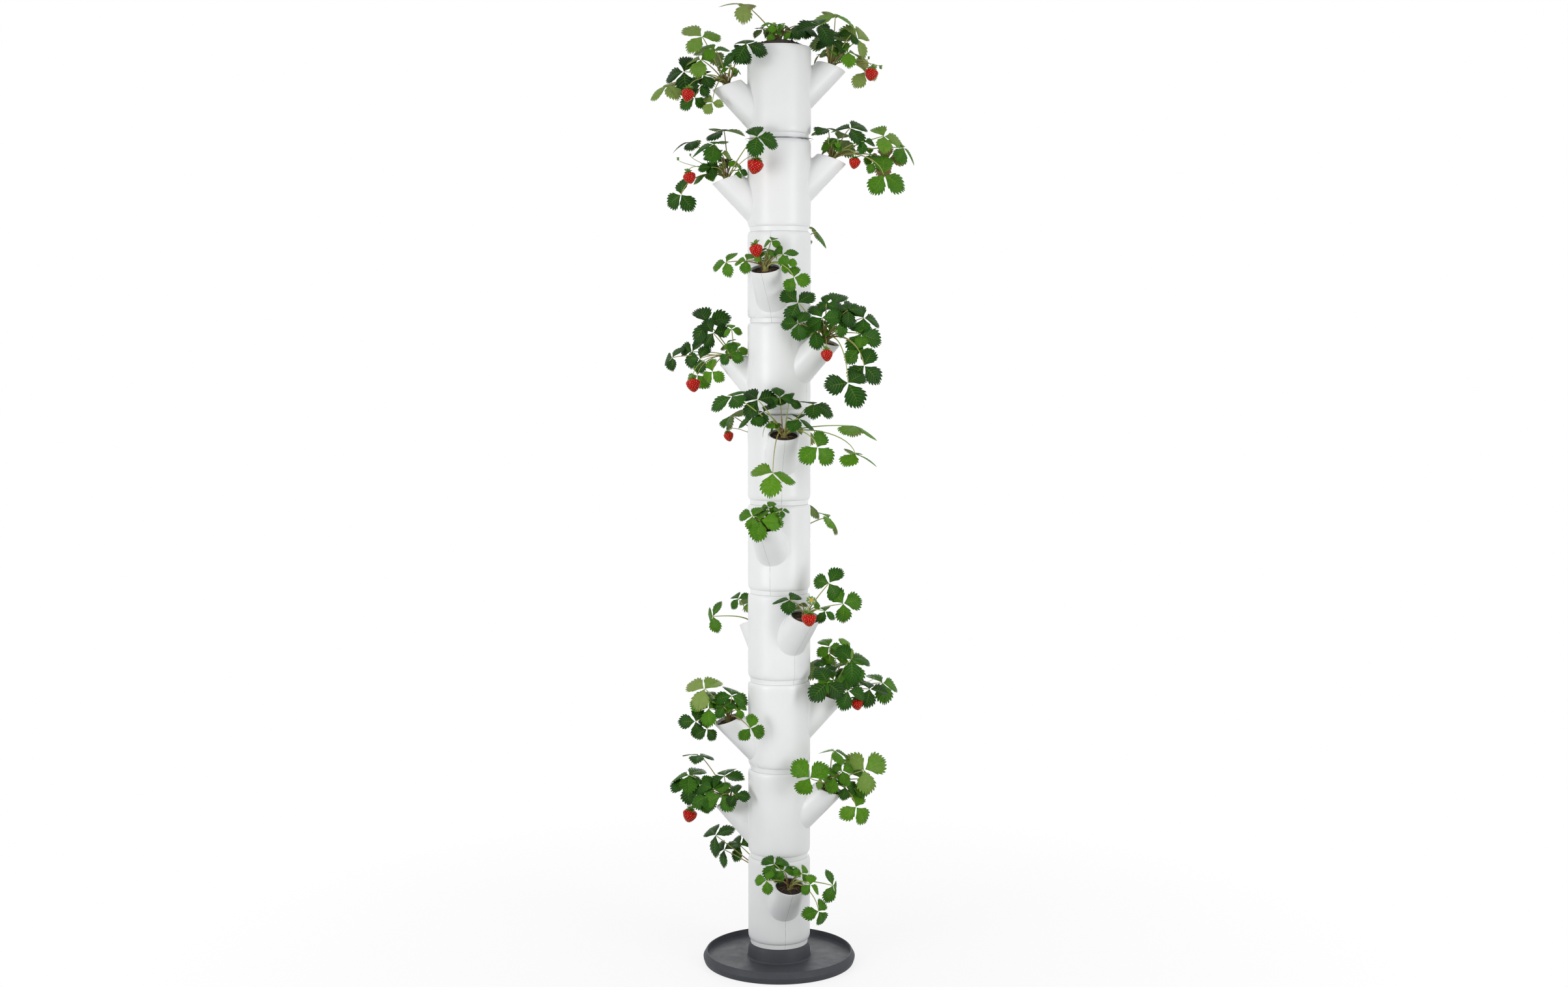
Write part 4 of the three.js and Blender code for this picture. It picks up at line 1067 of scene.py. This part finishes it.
# Bends a unit tube along a curve, turned from step to step without twist
def stampTube(bm, template, path, startRadius, endRadius, tone, steps=28):
    centres = [bezier(path, k / steps) for k in range(steps + 1)]
    ways = [(centres[min(k + 1, steps)] - centres[max(k - 1, 0)]).normalized() for k in range(steps + 1)]
    across = ways[0].orthogonal().normalized()
    frames = []
    for centre, way in zip(centres, ways):
        across = (across - way * across.dot(way)).normalized()
        frames.append((centre, across, way.cross(across)))

    def place(co):
        centre, right, over = frames[max(0, min(steps, round(co.z * steps)))]
        radius = startRadius + (endRadius - startRadius) * co.z
        return centre + right * (co.x * radius) + over * (co.y * radius)

    stamp(bm, template, place, tone)


# A stalk up from its root and along to its tip, which it reaches the way of arrival
def growStalk(mesh, kind, root, tip, arrival, tone):
    rise = root.lerp(tip, 1 / 6)
    rise.z = root.z + plant["stalkLift"]
    fall = tip - arrival * plant["stalkLift"]
    fall.z = max(fall.z, plant["stalkLift"] / 3)
    stampTube(mesh, stalkTube, (root, rise, fall, tip), *plant["stalkRadii"][kind], tone)


# Adds copies round a wheel, each sized, shifted, leant and turned, and all of them moved by matrix
def stampWheel(bm, template, matrix, count, size, shift=(0, 0, 0), lean=0, start=0, slot=None):
    for k in range(count):
        turn = Matrix.Rotation(math.tau * (k + start) / count, 4, "Z") @ Matrix.Rotation(lean, 4, "X")
        whole = matrix @ turn @ Matrix.Translation(shift) @ Matrix.Diagonal((*size, 1))
        stamp(bm, template, lambda co: whole @ co, slot=slot)


# A root for each stalk, evenly round the crown in the order of the ways that the stalks go
def rootsOf(middle, rows):
    ways = [math.atan2(row[1], row[0]) for row in rows]
    for way in ways:
        angle = (sum(other < way for other in ways) + 0.5) / len(ways) * math.tau - math.pi
        yield middle + polar(plant["rootRadius"], angle)


# Three leaflets that meet at the row's place, and their stalk
def stampLeaf(mesh, stalks, root, row, pick):
    place = placeOf(row)
    facing, tilt = row[4] * math.pi / 2, row[5] * math.pi / 2
    normal = polar(math.sin(tilt), facing, math.cos(tilt))
    away = place - root
    tipWay = (away - normal * away.dot(normal)).normalized()
    sideWay = normal.cross(tipWay)
    # A tone given in the row is partly painted light: fresher green where the leaf is lit, darker where it is
    # in shade
    tone = row[6] if len(row) > 6 else pick.uniform(*leaflet["tones"])
    for turn in leaflet["turns"]:
        angle = turn * math.pi / 2 + play(pick, leaflet["turnPlay"])
        forward = tipWay * math.cos(angle) + sideWay * math.sin(angle)
        roll = play(pick, leaflet["rollPlay"])
        pitch = pick.uniform(*leaflet["pitches"])
        over = (normal + forward * -pitch).normalized()
        forward = (forward + normal * pitch).normalized()
        over = (over + forward.cross(over) * roll).normalized()
        right = forward.cross(over)
        share, gap = (leaflet["sideShare"], leaflet["sideFootGap"]) if turn else (1, leaflet["footGap"])
        reach = row[3] * plant["leafReach"] * pick.uniform(*leaflet["sizes"]) * share
        start = place + forward * (gap * reach)

        def onLeaf(co):
            lift = co.z * reach - plant["leafDroop"] * co.y * co.y
            return start + right * (co.x * reach) + forward * (co.y * reach) + over * lift

        stamp(mesh, pick.choice(leaflets), onLeaf, max(0, min(1, tone + play(pick, leaflet["tonePlay"]))))
    growStalk(stalks, "leaves", root, place, tipWay / 2, pick.uniform(0, 0.7))


def stampBerry(mesh, stalks, root, row, pick):
    top = placeOf(row) + up * berry["length"] / 2
    growStalk(stalks, "berries", root, top, -up, pick.uniform(0.1, 0.5))
    size = berry["length"] * (row[3] if len(row) > 3 else 1) * pick.uniform(*berry["sizes"])
    width = size * pick.uniform(*berry["widths"])
    angles = play(pick, berry["tiltPlay"]), play(pick, berry["tiltPlay"]), pick.uniform(0, math.tau)
    turns = [Matrix.Rotation(angle, 3, axis) for angle, axis in zip(angles, "XYZ")]
    shape = turns[0] @ turns[1] @ turns[2] @ Matrix.Diagonal((width, width, size))
    stamp(mesh, pick.choice(berries), lambda co: top + shape @ co)


def stampFlower(mesh, stalks, root, row, pick):
    f, place = flower, placeOf(row)
    growStalk(stalks, "flower", root, place, up / 2, 0.1)
    turned = Matrix.Translation(place) @ Vector(f["look"]).to_track_quat("Z", "Y").to_matrix().to_4x4()
    petal = [f["radius"] * share for share in f["petal"]]
    stampWheel(mesh, petalBlade, turned, f["petals"], petal, shift=(0, f["radius"] * f["petalGap"], 0))
    stampWheel(mesh, clods[0], turned, 1, f["heart"], shift=(0, 0, f["heartRise"]), slot=1)
    for k in range(f["anthers"]):
        radius = f["antherRing"][0] + f["antherRing"][1] * k / f["anthers"]
        spot = polar(radius, k * spiralTurn, f["antherRise"])
        stamp(mesh, clods[1], lambda co: turned @ (co * f["anther"] + spot), slot=1)
    stampWheel(mesh, sepalBlade, turned, f["sepals"], f["sepal"], shift=(0, 0, -f["sepalDrop"]), start=0.5,
               slot=2)


def stampBud(mesh, stalks, root, row, pick):
    place, length = placeOf(row), row[3] * bud["length"]
    growStalk(stalks, "buds", root, place, up / 2, 0.1)
    core, sepal = ([length * share for share in bud[part]] for part in ("core", "sepal"))
    stampWheel(mesh, clods[2], Matrix.Translation(place), 1, core)
    foot = Matrix.Translation(place - up * length * bud["sepalDrop"])
    stampWheel(mesh, sepalBlade, foot, bud["sepals"], sepal, lean=bud["sepalLean"])


# The crown's heart and the brown stipules round it
def stampCrown(mesh, foot, middle, pick):
    c = crown
    lowered = Matrix.Translation(middle - up * c["heartDrop"])
    stampWheel(mesh, clods[0], lowered, 1, c["heart"], slot=1)
    for k in range(c["stipules"]):
        turn = Matrix.Rotation(k * spiralTurn, 3, "Z")
        lean = pick.uniform(*c["stipuleLeans"])
        length = pick.uniform(*c["stipuleLengths"])

        def stipule(co):
            out = c["stipuleRing"] + co.y * length * lean - co.z * c["stipuleDepth"]
            return foot + turn @ Vector((co.x * c["stipuleWidth"], out, co.y * length * (1 - lean * 0.3) + 1))

        stamp(mesh, sepalBlade, stipule, slot=1)


# Rows for the young leaves round the crown, each drawn when it is asked for
def youngRows(count, pick):
    for k in range(count):
        turn = math.tau * (k + pick.random()) / count
        reach, size = pick.uniform(*plant["youngReach"]), pick.uniform(*plant["youngSize"])
        yield (reach * math.cos(turn), reach * math.sin(turn), pick.uniform(*plant["youngRise"]), size,
               4 * turn / math.tau, pick.uniform(*plant["youngTilts"]), pick.uniform(*plant["youngTones"]))


def makePlant(name, nodeName, body, matrix, slope):
    table = plants[name]
    pick = random.Random(name)
    rise = plant["topRise"] if name == "top" else crown["rise"] - plant["soilDrop"]
    foot = Vector((0, 0, rise / math.cos(slope)))
    middle = foot + up * crown["height"] / 2
    meshes = {part: newPlantMesh() for part in plantParts}
    stalks = meshes["stalks"]
    makers = {"leaves": stampLeaf, "berries": stampBerry, "flower": stampFlower, "buds": stampBud}
    roots = rootsOf(middle, [row for part in makers for row in table.get(part, [])])
    for part, maker in makers.items():
        for row in table.get(part, []):
            maker(meshes[part], stalks, next(roots), row, pick)
        if part == "leaves":
            for row in youngRows(table.get("young", plant["youngLeaves"]), pick):
                stampLeaf(meshes[part], stalks, middle, row, pick)
    stampCrown(stalks, foot, middle, pick)
    for part, (materials, slot) in plantParts.items():
        if len(meshes[part].faces) == 0:
            meshes[part].free()
            continue
        piece = finishMesh(f"{nodeName}_{part}", meshes[part], materials, matrix, body, slot, sharpAngle=60)
        if part == "leaves":
            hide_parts(nodeName)


# Soil in the mouths and at the top, with clods and root fibres

ground = {"lumps": [(0.09, 3.2), (0.3, 1.6), (0.9, 0.7)], "depth": 5, "clods": 60, "clodSizes": (0.7, 2.4),
          "fibres": 14, "fibreLifts": (2, 6), "fibreRadii": (0.3, 0.55), "mouthDome": 0.5, "topDome": 17,
          "topRadius": 62.6, "topDrop": 2, "wallOverlap": 0.1}


def lump(point):
    return sum(noise.noise(point * scale) * height for scale, height in ground["lumps"])


# A lumpy top for the soil, whose edge at each angle and depth comes from edgeAt
def makeSoilTop(name, body, matrix, edgeAt, slopeNormal, dome):
    g = ground
    bm = newPlantMesh()
    pick = random.Random(name)
    shift = Vector((pick.uniform(0, 200), pick.uniform(0, 200), 0))
    centre, deepCentre = ((edgeAt(0, deeper) + edgeAt(math.pi, deeper)) / 2 for deeper in (0, g["depth"]))

    def surface(x, y):
        reach = min(1, math.hypot(x, y))
        point = centre.lerp(edgeAt(math.atan2(y, x), 0), reach)
        height = (lump(point + shift) + 1) * (1 - reach ** 4 * 0.8) + dome * (1 - reach * reach)
        return point + slopeNormal * height

    def onSurface(reach, turn):
        return surface(reach * math.cos(turn), reach * math.sin(turn))

    def place(co):
        if co.z < -0.5:
            return deepCentre.lerp(edgeAt(math.atan2(co.y, co.x), g["depth"]), math.hypot(co.x, co.y))
        return surface(co.x, co.y)

    stamp(bm, puck, place)
    for k in range(g["clods"]):
        spot = onSurface(math.sqrt(pick.random()) * 0.93, pick.uniform(0, math.tau))
        size = pick.uniform(*g["clodSizes"])
        spin = Matrix.Rotation(pick.uniform(0, 6), 3, "X")
        stamp(bm, pick.choice(clods), lambda co: spot + spin @ (co * size))
    finishMesh(f"{name}_surface", bm, [soil], matrix, body, "soil", sharpAngle=80)
    fibres = newPlantMesh()
    for k in range(g["fibres"]):
        turn = pick.uniform(0, math.tau)
        bend = turn + play(pick, 1.2)
        near, far = pick.uniform(0.15, 0.4), pick.uniform(0.6, 0.92)
        start = onSurface(near, turn) - slopeNormal
        end = onSurface(far, bend) - slopeNormal * 1.2
        lift = slopeNormal * pick.uniform(*g["fibreLifts"])
        path = start, start.lerp(end, 0.3) + lift, start.lerp(end, 0.7) + lift, end
        stampTube(fibres, rootTube, path, pick.uniform(*g["fibreRadii"]), 0.2, 0)
    finishMesh(f"{name}_roots", fibres, [plain["rootFibre"]], matrix, body, "soil", sharpAngle=80)


mouthNormal = Vector((math.sin(spout["mouthTilt"]), 0, math.cos(spout["mouthTilt"])))
for tier in tiers:
    soilNode = frame["nodes"][f"{tier}_soil"]
    soilNode.data.materials.clear()
    soilNode.data.materials.append(soil)
    for side, turn in (("high", 0), ("low", math.pi)):
        height = spout["mouthHeights"][side]
        outward = tierPlaces[tier] @ Matrix.Rotation(turn, 4, "Z")
        atMouth = outward @ Matrix.Translation((spout["mouthReach"], 0, height))
        makePlant(f"{tier}_{side}", f"{tier}_plant_{side}", tier, atMouth, spout["mouthTilt"])
        makeSoilTop(f"{tier}_soil_{side}", tier, outward, lambda angle, deeper: soilPlace(
            angle, trunk["wall"] - ground["wallOverlap"], height, plant["soilDrop"] + deeper),
            mouthNormal, ground["mouthDome"])
topPlace = tierPlaces["tier_10"] @ Matrix.Translation((0, 0, trunk["top"] + 3))
makePlant("top", "top_plant", "tier_10", topPlace, 0)
makeSoilTop("tier_10_soil_top", "tier_10", tierPlaces["tier_10"], lambda angle, deeper: polar(
    ground["topRadius"], angle, trunk["top"] - ground["topDrop"] - deeper), up, ground["topDome"])
print("plants and soil made")


# Floor, light and camera

studio = {
    "floor": shade(250, 250, 250),
    "floorRadius": 14,
    "floorGlow": (0.78, 1),
    "glowReach": (0.25, 1.4),
    "bounce": shade(190, 190, 190),
    "bounceReach": (0.6, 3),
    "worldLight": 0.64,
    "lamps": {"keyLamp": ((-2.1, -1.7, 1.25), 8.3), "fillLamp": ((2.1, -1.7, 1.25), 7.3),
              "backLamp": ((0, 2.7, 1.25), 5)},
    "lampSize": (1, 1.6),
    "lampTarget": Vector((0, 0, 1.1)),
    "beam": math.radians(90),
}


# Pale where the camera sees it, and darker under the tower in the light that it throws back
def makeFloor():
    bm = bmesh.new()
    bmesh.ops.create_circle(bm, cap_ends=True, segments=96, radius=studio["floorRadius"])
    floor = newObject("floor", meshFrom("floor", bm))
    material = bpy.data.materials.new("paleFloor")
    material.use_nodes = True
    material.node_tree.nodes.clear()
    rays = node(material, "ShaderNodeLightPath", {}).outputs
    middle = node(material, "ShaderNodeVectorMath", {0: objectPlace(material)}, operation="LENGTH")
    distance = middle.outputs["Value"]
    far = spread(material, distance, *studio["bounceReach"], 0, 1)
    pale = calc(material, "MAXIMUM", rays["Is Camera Ray"], far)
    colour = mixed(material, pale, studio["bounce"], studio["floor"])
    diffuse = node(material, "ShaderNodeBsdfDiffuse", {"Color": colour})
    glow = node(material, "ShaderNodeEmission", {"Color": (1, 1, 1, 1), "Strength": 1.0})
    seen = calc(material, "MAXIMUM", rays["Is Camera Ray"], rays["Is Glossy Ray"])
    strength = spread(material, distance, *studio["glowReach"], *studio["floorGlow"])
    share = calc(material, "MULTIPLY", seen, strength)
    blend = node(material, "ShaderNodeMixShader", {0: share, 1: diffuse.outputs[0], 2: glow.outputs[0]})
    node(material, "ShaderNodeOutputMaterial", {0: blend.outputs[0]})
    floor.data.materials.append(material)


def makeWorld():
    world = bpy.data.worlds.new("studioWorld")
    bpy.context.scene.world = world
    world.use_nodes = True
    background = world.node_tree.nodes["Background"]
    background.inputs["Color"].default_value = (1, 1, 1, 1)
    rays = node(world, "ShaderNodeLightPath", {}).outputs
    seen = calc(world, "MAXIMUM", rays["Is Camera Ray"], rays["Is Glossy Ray"])
    seen = calc(world, "MAXIMUM", seen, rays["Is Transmission Ray"])
    link(spread(world, seen, 0, 1, studio["worldLight"], 1), background, "Strength")


def makeLamp(name, place, power):
    data = bpy.data.lights.new(name, "AREA")
    data.shape = "RECTANGLE"
    data.size, data.size_y = studio["lampSize"]
    data.energy = power
    data.spread = studio["beam"]
    lamp = newObject(name, data)
    lamp.location = place
    lamp.rotation_euler = (studio["lampTarget"] - Vector(place)).to_track_quat("-Z", "Y").to_euler()


view = {"distance": 4.245, "height": 1.413, "pitch": math.radians(4.663), "lens": 43.74, "sensor": 36,
        "shift": 0.0031}


def makeCamera():
    data = bpy.data.cameras.new("camera")
    data.lens = view["lens"]
    data.sensor_width = view["sensor"]
    data.shift_x = view["shift"]
    camera = newObject("camera", data)
    camera.location = (0, -view["distance"], view["height"])
    camera.rotation_euler = (math.pi / 2 - view["pitch"], 0, 0)
    bpy.context.scene.camera = camera


makeFloor()
makeWorld()
for name, (place, power) in studio["lamps"].items():
    makeLamp(name, place, power)
makeCamera()
bpy.context.scene.view_settings.view_transform = "Standard"
print("studio made")
